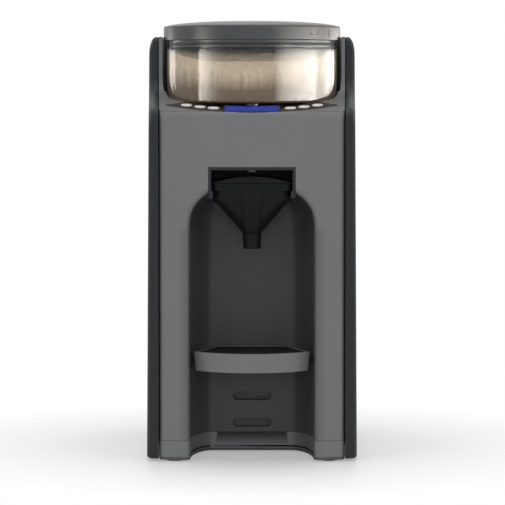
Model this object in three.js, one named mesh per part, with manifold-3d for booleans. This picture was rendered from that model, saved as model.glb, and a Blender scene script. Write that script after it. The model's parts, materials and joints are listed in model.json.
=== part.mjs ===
// Baby formula maker: a counter-top machine with a powder hopper on top, a bottle bay in front
// and a water tank behind. Millimetres, +Z up. It faces -Y, and x is measured from its centre line.
// Places in y are measured from the middle of the front face, and the whole is centred at the end.
import * as THREE from "three";
import { mergeVertices } from "three/addons/utils/BufferGeometryUtils.js";
import Module from "manifold-3d";

const wasm = await Module();
wasm.setup();

// Clearances and the overrun that all cuts share
const gap = 0.3;
const over = 2;
const weld = 0.001;
const quarterTurn = Math.PI / 2;

// Driving dimensions
const shell = {
  halfWidth: 83.3, spread: 3.7, spreadDepth: 115, crownRadius: 404, corner: 5, wall: 2.6,
  seamHeight: 18.9, topRise: 3.8, split: 192, rear: 262,
  ledgeHeight: 315.2, ledgeTilt: 0.176, ledgeWall: 4, edgeRollIn: 1.8, edgeRollDown: 5.2,
  sweepStart: 60, sweepBend: 100, sweepRise: 3, sweepEnd: 97, uprightBend: 30,
};
const side = {
  thickness: 8.3, flareShare: 0.3, front: 7.5, bottom: 2.5, shoulderIn: 6.4, shoulderDown: 15.6,
  bottomEdge: 3, lip: 1.6, frontCorner: 14, topCorner: 9, rearCorner: 16, wall: 3, frontShare: 0.5,
};
const bay = {
  halfWidth: 56, backHalfWidth: 35.5, top: 245.5, roofDrop: 12, depth: 78, fillet: 6, lip: 12,
  wall: 2.2, archShare: 0.55,
};
const slots = { halfWidth: 17.9, height: 8.2, lowest: 23.5, pitch: 24.8, count: 3, pocketDepth: 8, wall: 2 };
const base = { coverThickness: 1.9, floor: 2.6, coverLip: 0.6 };
const foot = { height: 1.2, radius: 8, stemRadius: 2.5, stemLength: 2, inset: 14, frontY: 20, sides: 14 };
const slotFrame = {
  halfWidth: 39, bottom: 238.5, top: 265.9, depth: 84, wall: 2.4, railRise: 5.9, railWidth: 1.6,
  chuteY: 40, nozzleY: 66,
};
const funnel = {
  flangeHeight: 6.3, frontY: 5, backY: 76, flangeCorner: 6, bodyCorner: 9, wall: 1.8, outletY: 35,
  drop: 53.1, shoulderShare: 0.143, waistShare: 0.593, neckShare: 0.7345, waistRadius: 14.8, neckRadius: 8.5,
  tipRadius: 8, ribHalfWidth: 9.4, ribRise: 1.2, ribShares: [1, 0.75, 0.5], clearance: 0.4, pathDrop: 12.5,
};
const cover = { rise: 6.2, wall: 1.6, inset: 1.6, mouthHalfWidth: 11, mouthFront: 28, mouthBack: 73 };
const hopper = {
  y: 108, radius: 81.3, wall: 2.4, bottom: 320.9, top: 380.9, edge: 5, boreClearance: 1,
  hubHole: 14, outletRadius: 46, outletHole: 9.5, baseRadius: 70, baseThickness: 2.7, sides: 36,
};
const seat = { thickness: 2.6, shelfWidth: 6.2, holeClearance: 1 };
const lid = {
  radius: 82.2, clearance: 1.5, sideHeight: 10.3, chamfer: 2.2, dome: 5.6, wall: 2.2,
  skirtDepth: 6.7, skirtWall: 2.3, skirtClearance: 1.6, sealHeight: 2.6, sealLift: 1.5,
};
const wheel = {
  radius: 62, thickness: 6, pockets: 10, pocketRadius: 7, spigotRadius: 7, spigotHeight: 15, sides: 28,
};
const scraper = { inner: 30, outer: 72, foot: 64, thickness: 2.2, halfAngle: 0.34, clearance: 0.6, steps: 8 };
const stirrer = { hubRadius: 12, radius: 72, armRise: 1.2, armHeight: 8, armWidth: 3.2, arms: 3, cap: 3 };
const powder = {
  rise: 38, heap: 9, ripple: 1.6, ripples: 3, clearance: 0.6, sides: 32, rings: 4,
};
const drive = { shaftRadius: 3.6, dogRadius: 6, dogHeight: 7, dogInset: 1, dogClearance: 0.4, dogSides: 6 };
const motor = {
  gearRadius: 24, gearHeight: 19, canRadius: 14, canHeight: 30, bossHole: 9, sides: 16,
  bracketHalfWidth: 34, bracketHalfDepth: 26, bracketThickness: 3.4,
};
const chute = { radius: 11.5, wall: 1.8, sides: 12 };
const nozzle = { radius: 4, collar: 6.5, collarHeight: 4, drop: 3.4, sides: 14 };
const panel = {
  band: 24.2, halfAngle: 0.83, thickness: 1.6, rise: 0.3, steps: 12,
  windowHalfWidth: 25.3, windowFromBore: 2.4, windowFromEdge: 1.2, windowTilt: 0.06,
};
const button = {
  halfWidth: 5.4, halfDepth: 4.2, rise: 0.8, skirt: 6, angles: [0.377, 0.521, 0.681], sides: 14,
};
const board = { drop: 12, thickness: 1.6, width: 15.5, halfAngle: 0.74, bossRadius: 2.6 };
const tank = {
  halfWidth: 80.9, front: 197, depth: 82, bottom: 122, top: 376, corner: 14, wall: 2.2,
  lidHeight: 7.2, lidWall: 2, barrel: 3.4, pinRadius: 1.5, hingeInset: 4, earIn: 69.7, earWidth: 6,
  earReach: 8, earDepth: 6, lidGap: 1.6, neckRadius: 9, neckWall: 2, neckLength: 6.4, outletY: 235,
};
const platform = {
  height: 118, cupRadius: 15, cupWall: 4, cupFloor: 3, cupRim: 3, nippleLength: 5, valveDepth: 16,
  pinRadius: 1.5, pinDrop: 3, cupSides: 12,
};
const valve = { radius: 6.3, thickness: 2, stemRadius: 2, stem: 5, sides: 12 };
const seal = { width: 1.4, height: 2, lift: 1.2 };
const rearCover = {
  halfWidth: 62, low: 26, high: 110, thickness: 2.7, rim: 9, vents: 7, ventHeight: 3, ventHalfWidth: 26,
  ventPitch: 7, ventLow: 44, screwRadius: 3.4, screwInset: 4, screwHead: 1.8, screwShank: 1.6,
  screwLength: 8, screwSides: 8,
};
const rocker = { x: 42, z: 88, halfWidth: 6.5, halfHeight: 9.5, depth: 7, bulge: 2.4, clearance: 0.5 };
const gland = {
  x: 42, z: 46, radius: 8, flange: 10.5, flangeThickness: 2.4, length: 13, bore: 3.6, sides: 12,
};
const pump = { x: 45, z: 30, radius: 16, front: 105, length: 46, headLength: 20, headHalf: 17, footHalf: 12 };
const flow = { radius: 9, length: 19, sides: 16 };
const heater = { x: -40, y: 130, radius: 22, height: 66, ports: 10, portRadius: 3.4, portRise: 3, sides: 18 };
const supply = {
  left: -72, width: 64, front: 196, depth: 54, height: 4, blockHeight: 24, blockInset: 8, blockWidth: 32,
  can: 9, canInset: 2,
};
const mainBoard = {
  side: 68, front: 96, depth: 84, low: 70, height: 130, bossRadius: 3, bossInset: 8, chip: 14, chipRise: 4,
};
const hose = {
  radius: 3, bore: 1.8, lead: 12, sides: 6, steps: 10,
  fromTank: [[38, 214, 38], [16, 230, 62]],
  fromPump: [[34, 154, 84], [5, 143, 98], [-22, 133, 96]],
  toNozzle: [[-56, 122, 130], [-62, 108, 190], [-58, 94, 250], [-46, 82, 284], [-18, 70, 294]],
};
const shelf = {
  noseY: -12, cornerY: 15, halfWidth: 52.4, rearHalfWidth: 34, rearY: 76.5, bottom: 81.7, thickness: 17.2,
  draft: 2.1, plate: 4, wall: 2.4, matDepth: 1.6, matInset: 4, hookHalfWidth: 17.3, tongue: 7, steps: 8,
};

// Finishes: colour, roughness, metalness
const slate = [0x6e6f71, 0.42, 0];
const charcoal = [0x2f3234, 0.5, 0];
const black = [0x1a1c1d, 0.4, 0];
const gloss = [0x08090a, 0.12, 0];
const clear = [0xd9dcdc, 0.08, 0];
const smoke = [0x606266, 0.2, 0];
const cream = [0xd8c8aa, 0.9, 0];
const white = [0xf0f0ec, 0.4, 0];
const blue = [0x1e3296, 0.15, 0];
const rubber = [0x222222, 0.85, 0];
const steel = [0xb4b7ba, 0.3, 1];
const green = [0x1f5a36, 0.55, 0];
const silicone = [0xcfd2d0, 0.6, 0];

// Solids from triangles, geometries, outlines and rings
function closed(places, corners) {
  const at = (corner) => new THREE.Vector3().fromArray(places, corner * 3);
  const kept = [];
  let volume = 0;
  for (let i = 0; i < corners.length; i += 3) {
    const [a, b, c] = [corners[i], corners[i + 1], corners[i + 2]];
    if (a === b || b === c || c === a) continue;
    kept.push([a, b, c]);
    volume += at(a).dot(at(b).cross(at(c)));
  }
  const triangles = kept.flatMap(([a, b, c]) => (volume < 0 ? [a, c, b] : [a, b, c]));
  const mesh = { numProp: 3, vertProperties: new Float32Array(places), triVerts: new Uint32Array(triangles) };
  return new wasm.Manifold(new wasm.Mesh(mesh));
}

function solid(geometry) {
  const bare = geometry.clone();
  bare.deleteAttribute("normal");
  bare.deleteAttribute("uv");
  const merged = mergeVertices(bare, weld);
  return closed(merged.getAttribute("position").array, merged.index.array);
}

function join(first, ...others) {
  return others.reduce((whole, other) => whole.add(other), first);
}

function cut(first, ...others) {
  return others.reduce((whole, other) => whole.subtract(other), first);
}

function block([x0, x1], [y0, y1], [z0, z1]) {
  const box = new THREE.BoxGeometry(x1 - x0, y1 - y0, z1 - z0);
  return solid(box.translate((x0 + x1) / 2, (y0 + y1) / 2, (z0 + z1) / 2));
}

function rod(radius, [z0, z1], x, y, sides) {
  const round = new THREE.CylinderGeometry(radius, radius, z1 - z0, sides);
  return solid(round.rotateX(quarterTurn).translate(x, y, (z0 + z1) / 2));
}

// A round bar along y
function rodAlongY(radius, [y0, y1], x, z, sides) {
  const round = new THREE.CylinderGeometry(radius, radius, y1 - y0, sides);
  return solid(round.translate(x, (y0 + y1) / 2, z));
}

// A round bar along x
function rodAlongX(radius, [x0, x1], y, z, sides) {
  const round = new THREE.CylinderGeometry(radius, radius, x1 - x0, sides);
  return solid(round.rotateZ(quarterTurn).translate((x0 + x1) / 2, y, z));
}

// A profile of [radius, z] pairs turned about the z axis at x, y
function turned(profile, sides, x = 0, y = 0) {
  const points = profile.map(([radius, z]) => new THREE.Vector2(radius, z));
  return solid(new THREE.LatheGeometry(points, sides).rotateX(quarterTurn).translate(x, y, 0));
}

// A profile that comes back to its first point, turned to a ring
function ring(profile, sides, x = 0, y = 0) {
  return turned([...profile, profile[0]], sides, x, y);
}

function tidyPoints(shape, steps) {
  const points = shape.getPoints(steps);
  return points.filter((point, i) => point.distanceTo(points[(i + 1) % points.length]) > weld);
}

function extruded(shape, length, steps) {
  const outline = new THREE.Shape(tidyPoints(shape, steps));
  return new THREE.ExtrudeGeometry(outline, { depth: length, bevelEnabled: false });
}

// An outline in x and y, pushed up from z0 to z1
function upward(shape, [z0, z1], steps) {
  return solid(extruded(shape, z1 - z0, steps).translate(0, 0, z0));
}

// An outline in y and z, pushed along x
function sideways(shape, [x0, x1], steps) {
  const turn = new THREE.Matrix4().makeBasis(
    new THREE.Vector3(0, 1, 0), new THREE.Vector3(0, 0, 1), new THREE.Vector3(1, 0, 0),
  );
  return solid(extruded(shape, x1 - x0, steps).applyMatrix4(turn).translate(x0, 0, 0));
}

// An outline in x and z, pushed along y
function backward(shape, [y0, y1], steps) {
  return solid(extruded(shape, y1 - y0, steps).rotateX(quarterTurn).translate(0, y1, 0));
}

function polygon(points) {
  return new THREE.Shape(points.map(([x, y]) => new THREE.Vector2(x, y)));
}

// A closed skin through rings of [x, y, z] points, each with as many points as the next
function loft(rings) {
  const count = rings[0].length;
  const places = rings.flat(2);
  const corners = [];
  rings.slice(1).forEach((_, i) => {
    for (let j = 0; j < count; j++) {
      const [a, b] = [i * count + j, i * count + ((j + 1) % count)];
      corners.push(a, b, b + count, a, b + count, a + count);
    }
  });
  for (const [end, flip] of [[0, true], [rings.length - 1, false]]) {
    const middle = places.length / 3;
    for (let axis = 0; axis < 3; axis++) {
      places.push(rings[end].reduce((sum, point) => sum + point[axis], 0) / count);
    }
    for (let j = 0; j < count; j++) {
      const [a, b] = [end * count + j, end * count + ((j + 1) % count)];
      corners.push(...(flip ? [middle, b, a] : [middle, a, b]));
    }
  }
  return closed(places, corners);
}

// A rounded rectangle as a level ring
function roundedRing(halfX, halfY, corner, x, y, z, steps) {
  const radius = Math.min(corner, halfX - weld, halfY - weld);
  const points = [];
  for (const [signX, signY, start] of [[1, 1, 0], [-1, 1, 1], [-1, -1, 2], [1, -1, 3]]) {
    for (let i = 0; i <= steps; i++) {
      const angle = (start + i / steps) * quarterTurn;
      points.push([
        x + signX * (halfX - radius) + radius * Math.cos(angle),
        y + signY * (halfY - radius) + radius * Math.sin(angle),
        z,
      ]);
    }
  }
  return points;
}

function roundedBox(halfX, [y0, y1], [z0, z1], corner, steps) {
  const [halfY, y] = [(y1 - y0) / 2, (y0 + y1) / 2];
  return loft([z0, z1].map((z) => roundedRing(halfX, halfY, corner, 0, y, z, steps)));
}

// A sector between two radii, measured from the front about the hopper's middle
function sector(inner, outer, halfAngle, steps, y, innerAngle = halfAngle) {
  const arc = (radius, from, to) => {
    const points = [];
    for (let i = 0; i <= steps; i++) {
      const angle = from + ((to - from) * i) / steps;
      points.push([radius * Math.sin(angle), y - radius * Math.cos(angle)]);
    }
    return points;
  };
  return polygon([...arc(outer, -halfAngle, halfAngle), ...arc(inner, innerAngle, -innerAngle)]);
}

const root = new THREE.Group();

function add(parent, name, body, [color, roughness, metalness]) {
  const { vertProperties, triVerts } = body.getMesh();
  const geometry = new THREE.BufferGeometry();
  geometry.setAttribute("position", new THREE.BufferAttribute(new Float32Array(vertProperties), 3));
  geometry.setIndex(new THREE.BufferAttribute(new Uint32Array(triVerts), 1));
  geometry.computeVertexNormals();
  const mesh = new THREE.Mesh(geometry, new THREE.MeshStandardMaterial({ color, roughness, metalness }));
  mesh.name = name;
  parent.add(mesh);
  return mesh;
}

// A hose along a list of points, with its bore
function hoseAlong(points) {
  const circle = (radius) => new THREE.Path().absarc(0, 0, radius, 0, 4 * quarterTurn);
  const section = new THREE.Shape(tidyPoints(circle(hose.radius), hose.sides / 2));
  section.holes.push(new THREE.Path(tidyPoints(circle(hose.bore), hose.sides / 2)));
  const extrudePath = new THREE.CatmullRomCurve3(points.map((point) => new THREE.Vector3(...point)));
  return solid(new THREE.ExtrudeGeometry(section, { steps: hose.steps, extrudePath, bevelEnabled: false }));
}

// A curve of [a, b] pairs from one point to another, drawn towards a third
function bend(from, towards, to, steps) {
  const points = [];
  for (let i = 0; i <= steps; i++) {
    const share = i / steps;
    const left = 1 - share;
    points.push([0, 1].map((k) => (
      left * left * from[k] + 2 * left * share * towards[k] + share * share * to[k]
    )));
  }
  return points;
}

// A quarter circle of [radius, z] pairs round a centre, from straight down to straight out
function lowerEdge(centreRadius, centreZ, radius, steps) {
  const points = [];
  for (let i = 0; i <= steps; i++) {
    const angle = (i / steps) * quarterTurn;
    points.push([centreRadius + radius * Math.sin(angle), centreZ - radius * Math.cos(angle)]);
  }
  return points;
}

// Levels that several pieces share
const bodyLow = shell.seamHeight + gap / 2;
const level = {
  ledgeInside: shell.ledgeHeight - shell.ledgeWall,
  seatTop: hopper.bottom - 2 * gap - hopper.baseThickness,
  hopperFloor: hopper.bottom + hopper.wall,
  coverLow: foot.height + gap,
  platformLow: platform.height - shell.wall,
  shellTop: hopper.top + shell.topRise,
};
level.seatLow = level.seatTop - seat.thickness;
level.bracketTop = level.seatLow - gap;
level.gearTop = level.bracketTop - motor.bracketThickness - gap;
level.plinthLow = level.coverLow + base.coverThickness + gap;
level.floorTop = level.plinthLow + base.floor;
level.machineFloor = level.floorTop + gap;
level.wheelLow = level.hopperFloor + gap;
level.wheelTop = level.wheelLow + wheel.thickness;
level.scraperLow = level.wheelTop + scraper.clearance;
level.armLow = level.scraperLow + scraper.thickness + scraper.clearance;
level.armTop = level.armLow + stirrer.armHeight;
level.spigotTop = level.wheelTop + wheel.spigotHeight;
level.stirrerTop = level.spigotTop + gap + stirrer.cap;
level.railTop = slotFrame.bottom + slotFrame.railRise;
level.flangeLow = level.railTop + gap;
level.flangeTop = level.flangeLow + funnel.flangeHeight;
level.lidLow = hopper.top + gap;
level.tankLow = platform.height + gap;
level.lidBarrel = tank.top + gap + tank.lidHeight / 2;
level.nippleLow = level.platformLow - platform.valveDepth;
level.pinTop = level.tankLow - platform.pinDrop;
level.dogTop = level.wheelTop - drive.dogInset;
const boreRadius = hopper.radius + hopper.boreClearance;
const band = {
  middle: boreRadius + panel.band / 2,
  outer: boreRadius + panel.band,
  windowInner: boreRadius + panel.windowFromBore,
  windowOuter: boreRadius + panel.band - panel.windowFromEdge,
};
const outletY = hopper.y - hopper.outletRadius;
const ledge = (y) => shell.ledgeHeight + shell.ledgeTilt * y;
level.deck = ledge(hopper.y);
const faceY = (x, inset = 0) => shell.crownRadius - Math.sqrt((shell.crownRadius - inset) ** 2 - x ** 2);
const spreadSlope = shell.spread / shell.spreadDepth;
const rearHalf = shell.halfWidth + shell.spread;

// The housing in plan, as a level ring: crowned front, turned corners,
// and sides that spread and then run straight
const planSteps = { corner: 2, face: 8, sweep: 6 };
function planRing(inset, sideInset, rear, z) {
  const half = shell.halfWidth - sideInset;
  const flat = half - shell.corner;
  const turn = faceY(half, inset) + shell.corner;
  const wide = rearHalf - sideInset;
  const corner = (sign) => bend(
    [sign * (half + spreadSlope * turn), turn],
    [sign * half, faceY(half, inset)],
    [sign * flat, faceY(flat, inset)],
    planSteps.corner,
  );
  const face = [];
  for (let i = 1; i < planSteps.face; i++) {
    const x = flat * ((2 * i) / planSteps.face - 1);
    face.push([x, faceY(x, inset)]);
  }
  const back = (sign) => [[sign * wide, rear], [sign * wide, shell.spreadDepth]];
  const outline = [...back(-1), ...corner(-1), ...face, ...corner(1).reverse(), ...back(1).reverse()];
  return outline.map(([x, y]) => [x, y, z]);
}

// The bay as upright rings, with its walls grown outwards by a wall or by nothing
const baySteps = { fillet: 3, trough: 5, arch: 4 };
function bayRing(y, halfWidth, top, low, crownShare) {
  const radius = bay.archShare * halfWidth;
  const outline = [[-halfWidth, low]];
  for (const [sign, from, to] of [[-1, 0, 1], [1, 1, 0]]) {
    for (let i = 0; i <= baySteps.arch; i++) {
      const angle = (from + ((to - from) * i) / baySteps.arch) * quarterTurn;
      outline.push([
        sign * (halfWidth - radius + radius * Math.cos(angle)),
        top - radius + radius * Math.sin(angle),
      ]);
    }
  }
  outline.push([halfWidth, low]);
  return outline.map(([x, z]) => [x, y + crownShare * faceY(x), z]);
}

function troughRing(y, grow, low) {
  const share = Math.min(1, (y - bay.fillet) / (bay.depth - bay.fillet + grow));
  const cosine = Math.sqrt(1 - share * share);
  const halfWidth = bay.backHalfWidth + (bay.halfWidth - bay.backHalfWidth + grow) * cosine;
  const top = bay.top - bay.roofDrop + (bay.roofDrop + grow) * cosine;
  return bayRing(y, halfWidth, top, low, 1 - share);
}

function filletRings(grow, low) {
  const radius = bay.fillet - grow;
  const rings = [];
  for (let i = 0; i < baySteps.fillet; i++) {
    const angle = (i / baySteps.fillet) * quarterTurn;
    const out = bay.fillet - radius * Math.sin(angle);
    rings.push(bayRing(bay.fillet - radius * Math.cos(angle), bay.halfWidth + out, bay.top + out, low, 1));
  }
  return rings;
}

function troughRings(from, grow, low) {
  const rings = [troughRing(from, grow, low)];
  for (let i = 1; i <= baySteps.trough; i++) {
    const y = bay.fillet + (bay.depth - bay.fillet + grow) * Math.sin((i / baySteps.trough) * quarterTurn);
    if (y > from + bay.wall) rings.push(troughRing(y, grow, low));
  }
  return rings;
}

function bayCavity() {
  const mouth = bayRing(-over, bay.halfWidth + bay.fillet, bay.top + bay.fillet, -over, 0);
  return loft([mouth, ...filletRings(0, -over), ...troughRings(bay.fillet, 0, -over)]);
}
const cavity = bayCavity();

function slotOpening() {
  const half = slotFrame.halfWidth + gap;
  return block([-half, half], [-over, slotFrame.depth + gap], [slotFrame.bottom - gap, slotFrame.top + gap]);
}

// Everything between two heights over the tilted ledge
function ledgeBand(low, high, tilt) {
  const outline = [[-over, low, 0], [hopper.y, low, 0], [hopper.y, high, tilt], [-over, high, tilt]];
  const reach = band.outer;
  return sideways(polygon(outline.map(([y, z, more]) => [y, ledge(y) + z + more * y])), [-reach, reach], 1);
}

// A shape in plan between two heights over the ledge, its top tilted more where that is asked
function overLedge(shape, low, high, tilt = 0) {
  const stretch = [ledge(-over) - board.drop - over, ledge(hopper.y) + tilt * hopper.y + over];
  return upward(shape, stretch, 1).intersect(ledgeBand(low, high, tilt));
}

const ledgeAngle = Math.atan(shell.ledgeTilt);
const buttonPlaces = [-1, 1].flatMap((sign) => button.angles.map((angle) => sign * angle));

function buttonShape(grow, low, high) {
  const oval = new THREE.CylinderGeometry(1, 1, high - low, button.sides).rotateX(quarterTurn);
  return oval.scale(button.halfWidth + grow, button.halfDepth + grow, 1).translate(0, 0, (low + high) / 2);
}

function setOnLedge(object, angle) {
  const y = hopper.y - band.middle * Math.cos(angle);
  object.rotation.set(ledgeAngle, 0, angle);
  object.position.set(band.middle * Math.sin(angle), y, ledge(y) + panel.rise);
  object.updateMatrix();
  return object;
}

function buttonHole(angle) {
  const place = setOnLedge(new THREE.Object3D(), angle).matrix;
  return solid(buttonShape(gap, -board.drop, over).applyMatrix4(place));
}

// The outline over the ledge that is cut away in front of the hopper
function ledgeCut() {
  const start = [shell.sweepStart, ledge(shell.sweepStart)];
  const end = [shell.sweepEnd, start[1] + shell.uprightBend];
  const outline = [
    [-over, ledge(-over)],
    ...bend(start, [shell.sweepBend, start[1] + shell.sweepRise], end, planSteps.sweep),
    [shell.sweepEnd, level.shellTop + over],
    [-over, level.shellTop + over],
  ];
  return sideways(polygon(outline), [-rearHalf - over, rearHalf + over], 1);
}

function frontHousing() {
  const roll = shell.ledgeHeight - shell.edgeRollDown;
  const rollShares = [[0, 0], [0.6, 0.22], [1, 1]];
  const outer = loft([
    planRing(0, 0, shell.split, bodyLow),
    ...rollShares.map(([rise, inwards]) => planRing(
      shell.edgeRollIn * inwards, 0, shell.split, roll + shell.edgeRollDown * rise,
    )),
    planRing(shell.edgeRollIn, 0, shell.split, level.shellTop),
  ]);
  const inner = loft([bodyLow - over, level.ledgeInside].map((z) => (
    planRing(shell.wall, shell.wall, shell.split + over, z)
  )));
  const bore = rod(boreRadius, [level.bracketTop, level.deck + over], 0, hopper.y, hopper.sides);
  const under = [level.ledgeInside - over, level.seatLow];
  const hole = rod(boreRadius - seat.shelfWidth, under, 0, hopper.y, hopper.sides);
  // The hopper's well is open above the deck, and the lid has its own clearance there
  const room = lid.radius + lid.clearance;
  const upper = [level.deck, level.shellTop + over];
  const overDeck = join(
    rod(room, upper, 0, hopper.y, hopper.sides), block([-room, room], [hopper.y, shell.split + over], upper),
  );
  const lip = loft([...filletRings(bay.wall, bodyLow), troughRing(bay.lip, bay.wall, bodyLow)]);
  const recessAngle = panel.halfAngle + gap / band.outer;
  const recess = overLedge(
    sector(boreRadius - over, band.outer + gap, recessAngle, panel.steps, hopper.y),
    panel.rise - panel.thickness - gap, panel.rise + over,
  );
  const bosses = controlBosses();
  const mounts = mainBoardBosses();
  const body = join(cut(outer, inner, ledgeCut()), lip, ...bosses, ...mounts);
  return cut(body, cavity, bore, hole, overDeck, slotOpening(), recess, ...buttonPlaces.map(buttonHole));
}

// Posts under the ledge that the control board is screwed to
function controlBosses() {
  return [-1, 0, 1].map((side) => {
    const angle = side * (board.halfAngle - 2 * board.bossRadius / band.middle);
    const [x, y] = [band.middle * Math.sin(angle), hopper.y - band.middle * Math.cos(angle)];
    const low = ledge(y) - board.drop + gap + shell.ledgeTilt * board.bossRadius;
    return rod(board.bossRadius, [low, level.ledgeInside + gap], x, y, foot.sides / 2);
  });
}

// Posts on the housing's right side that the main board is screwed to
function mainBoardBosses() {
  const { side: x, front, depth, low, height, bossInset, bossRadius } = mainBoard;
  const reach = [x + board.thickness + gap, rearHalf - shell.wall / 2];
  return [front + bossInset, front + depth - bossInset].flatMap((y) => (
    [low + bossInset, low + height - bossInset].map((z) => rodAlongX(bossRadius, reach, y, z, foot.sides / 2))
  ));
}

function bayLiner() {
  const outer = loft(troughRings(bay.lip + gap, bay.wall, bodyLow));
  const pocketBack = bay.depth + slots.pocketDepth;
  const pockets = [];
  const holes = [];
  for (let i = 0; i < slots.count; i++) {
    const low = slots.lowest + i * slots.pitch;
    const high = low + slots.height;
    const half = slots.halfWidth;
    const skin = slots.wall;
    pockets.push(block(
      [-half - skin, half + skin], [bay.depth + bay.wall / 2, pocketBack + skin], [low - skin, high + skin],
    ));
    const opening = roundedRing(half, slots.height / 2, slots.wall, 0, (low + high) / 2, 0, 2);
    holes.push(backward(polygon(opening), [bay.depth - over, pocketBack], 1));
  }
  return cut(join(outer, ...pockets), cavity, slotOpening(), funnelPath(), ...holes);
}

// The way that the funnel takes under the slot frame when it slides out
function funnelPath() {
  const half = slotFrame.halfWidth - slotFrame.wall - slotFrame.railWidth + gap;
  const stretch = [slotFrame.bottom - funnel.pathDrop, slotFrame.top];
  return block([-half, half], [-over, funnel.backY + gap], stretch);
}

function basePlinth() {
  const top = shell.seamHeight - gap / 2;
  const outer = loft([level.plinthLow, top].map((z) => planRing(0, 0, shell.rear, z)));
  const hollow = loft([level.floorTop, top + over].map((z) => (
    planRing(shell.wall, shell.wall, shell.rear - shell.wall, z)
  )));
  const recessWall = loft([...filletRings(bay.wall, -over), ...troughRings(bay.fillet, bay.wall, -over)]);
  return cut(outer, cut(hollow, recessWall), cavity);
}

function bottomCover() {
  const plate = loft([level.coverLow, level.coverLow + base.coverThickness].map((z) => (
    planRing(-base.coverLip, 0, shell.rear, z)
  )));
  const holes = footPlaces.map(([, x, y]) => (
    rod(foot.stemRadius + gap, [0, level.plinthLow], x, y, foot.sides)
  ));
  return cut(plate, cavity, ...holes);
}

const footX = shell.halfWidth - foot.inset;
const footPlaces = [
  ["foot_front_left", -footX, foot.frontY], ["foot_front_right", footX, foot.frontY],
  ["foot_rear_left", -footX, shell.rear - foot.inset], ["foot_rear_right", footX, shell.rear - foot.inset],
];

function footPad() {
  const { height, radius, stemRadius, stemLength, sides } = foot;
  const top = height + stemLength;
  const profile = [[0, 0], [radius, 0], [radius, height], [stemRadius, height], [stemRadius, top], [0, top]];
  return turned(profile, sides);
}

// One ring of a side panel: how far out it is, how far its edges have turned in, and a skin to take off
const sideSteps = { corner: 3, shoulder: 3 };
function sideRing(sign, reach, inset, skin) {
  const back = side.frontShare * inset + skin;
  const [front, rear] = [side.front + back, shell.rear - back];
  const top = level.shellTop - inset - skin;
  const bottom = side.bottom + side.bottomEdge * (inset / side.shoulderDown) ** 2 + skin;
  const edge = (y) => ledge(y) + side.lip - back;
  const { frontCorner, topCorner, rearCorner } = side;
  const sweep = [shell.sweepStart, edge(shell.sweepStart)];
  const upright = shell.sweepEnd + back;
  const outline = [
    [front, bottom],
    ...bend([front, edge(front) - frontCorner], [front, edge(front)],
      [front + frontCorner, edge(front + frontCorner)], sideSteps.corner),
    ...bend(sweep, [shell.sweepBend + back, sweep[1] + shell.sweepRise],
      [upright, sweep[1] + shell.uprightBend], sideSteps.corner),
    ...bend([upright, top - topCorner], [upright, top], [upright + topCorner, top], sideSteps.corner),
    ...bend([rear - rearCorner, top], [rear, top], [rear, top - rearCorner], sideSteps.corner),
    [rear, bottom],
  ];
  return outline.map(([y, z]) => {
    const flare = 1 + side.flareShare * (1 - z / level.shellTop);
    return [sign * (rearHalf + 2 * gap + reach * flare), y, z];
  });
}

function sidePanel(sign) {
  const straight = side.thickness - side.shoulderIn;
  const rings = (skin, start) => {
    const reachShare = (side.thickness - skin) / side.thickness;
    const list = [sideRing(sign, start, 0, skin)];
    for (let i = 0; i <= sideSteps.shoulder; i++) {
      const angle = (i / sideSteps.shoulder) * quarterTurn;
      const reach = (straight + side.shoulderIn * Math.sin(angle)) * reachShare;
      list.push(sideRing(sign, reach, side.shoulderDown * (1 - Math.cos(angle)), skin));
    }
    return loft(list);
  };
  return leanIn(cut(rings(0, 0), rings(side.wall, -over)), sign);
}

// The front part of a side panel leans in with the housing's side
function leanIn(body, sign) {
  const [rear, front] = body.splitByPlane([0, 1, 0], shell.spreadDepth);
  const slope = sign * spreadSlope;
  const lean = [1, 0, 0, 0, slope, 1, 0, 0, 0, 0, 1, 0, -slope * shell.spreadDepth, 0, 0, 1];
  return join(rear, front.transform(lean));
}

function rearHousing() {
  const { wall, rear } = shell;
  const front = shell.split + gap;
  const half = rearHalf - wall;
  const outer = block([-rearHalf, rearHalf], [front, rear], [bodyLow, level.shellTop]);
  const niche = block([-half, half], [front + wall, rear + over], [platform.height, level.shellTop + over]);
  const hollow = block([-half, half], [front - over, rear - wall], [bodyLow - over, level.platformLow]);
  const opening = rearCover.halfWidth - rearCover.rim;
  const service = block(
    [-opening, opening], [rear - wall - over, rear + over],
    [rearCover.low + rearCover.rim, rearCover.high - rearCover.rim],
  );
  const through = [level.platformLow - over, platform.height + over];
  const cup = rod(platform.cupRadius + gap, through, 0, tank.outletY, platform.cupSides);
  const holes = screwPlaces.map(([, x, z]) => (
    rodAlongY(rearCover.screwShank + gap, [rear - wall - over, rear + over], x, z, rearCover.screwSides)
  ));
  return cut(outer, niche, hollow, service, cup, ...holes);
}

const screwX = rearCover.halfWidth - rearCover.screwInset;
const screwLevels = [rearCover.low + rearCover.screwInset, rearCover.high - rearCover.screwInset];
const screwPlaces = [
  ["cover_screw_low_left", -screwX, screwLevels[0]], ["cover_screw_low_right", screwX, screwLevels[0]],
  ["cover_screw_high_left", -screwX, screwLevels[1]], ["cover_screw_high_right", screwX, screwLevels[1]],
];
const coverFront = shell.rear + gap;
const coverBack = coverFront + rearCover.thickness;

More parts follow.
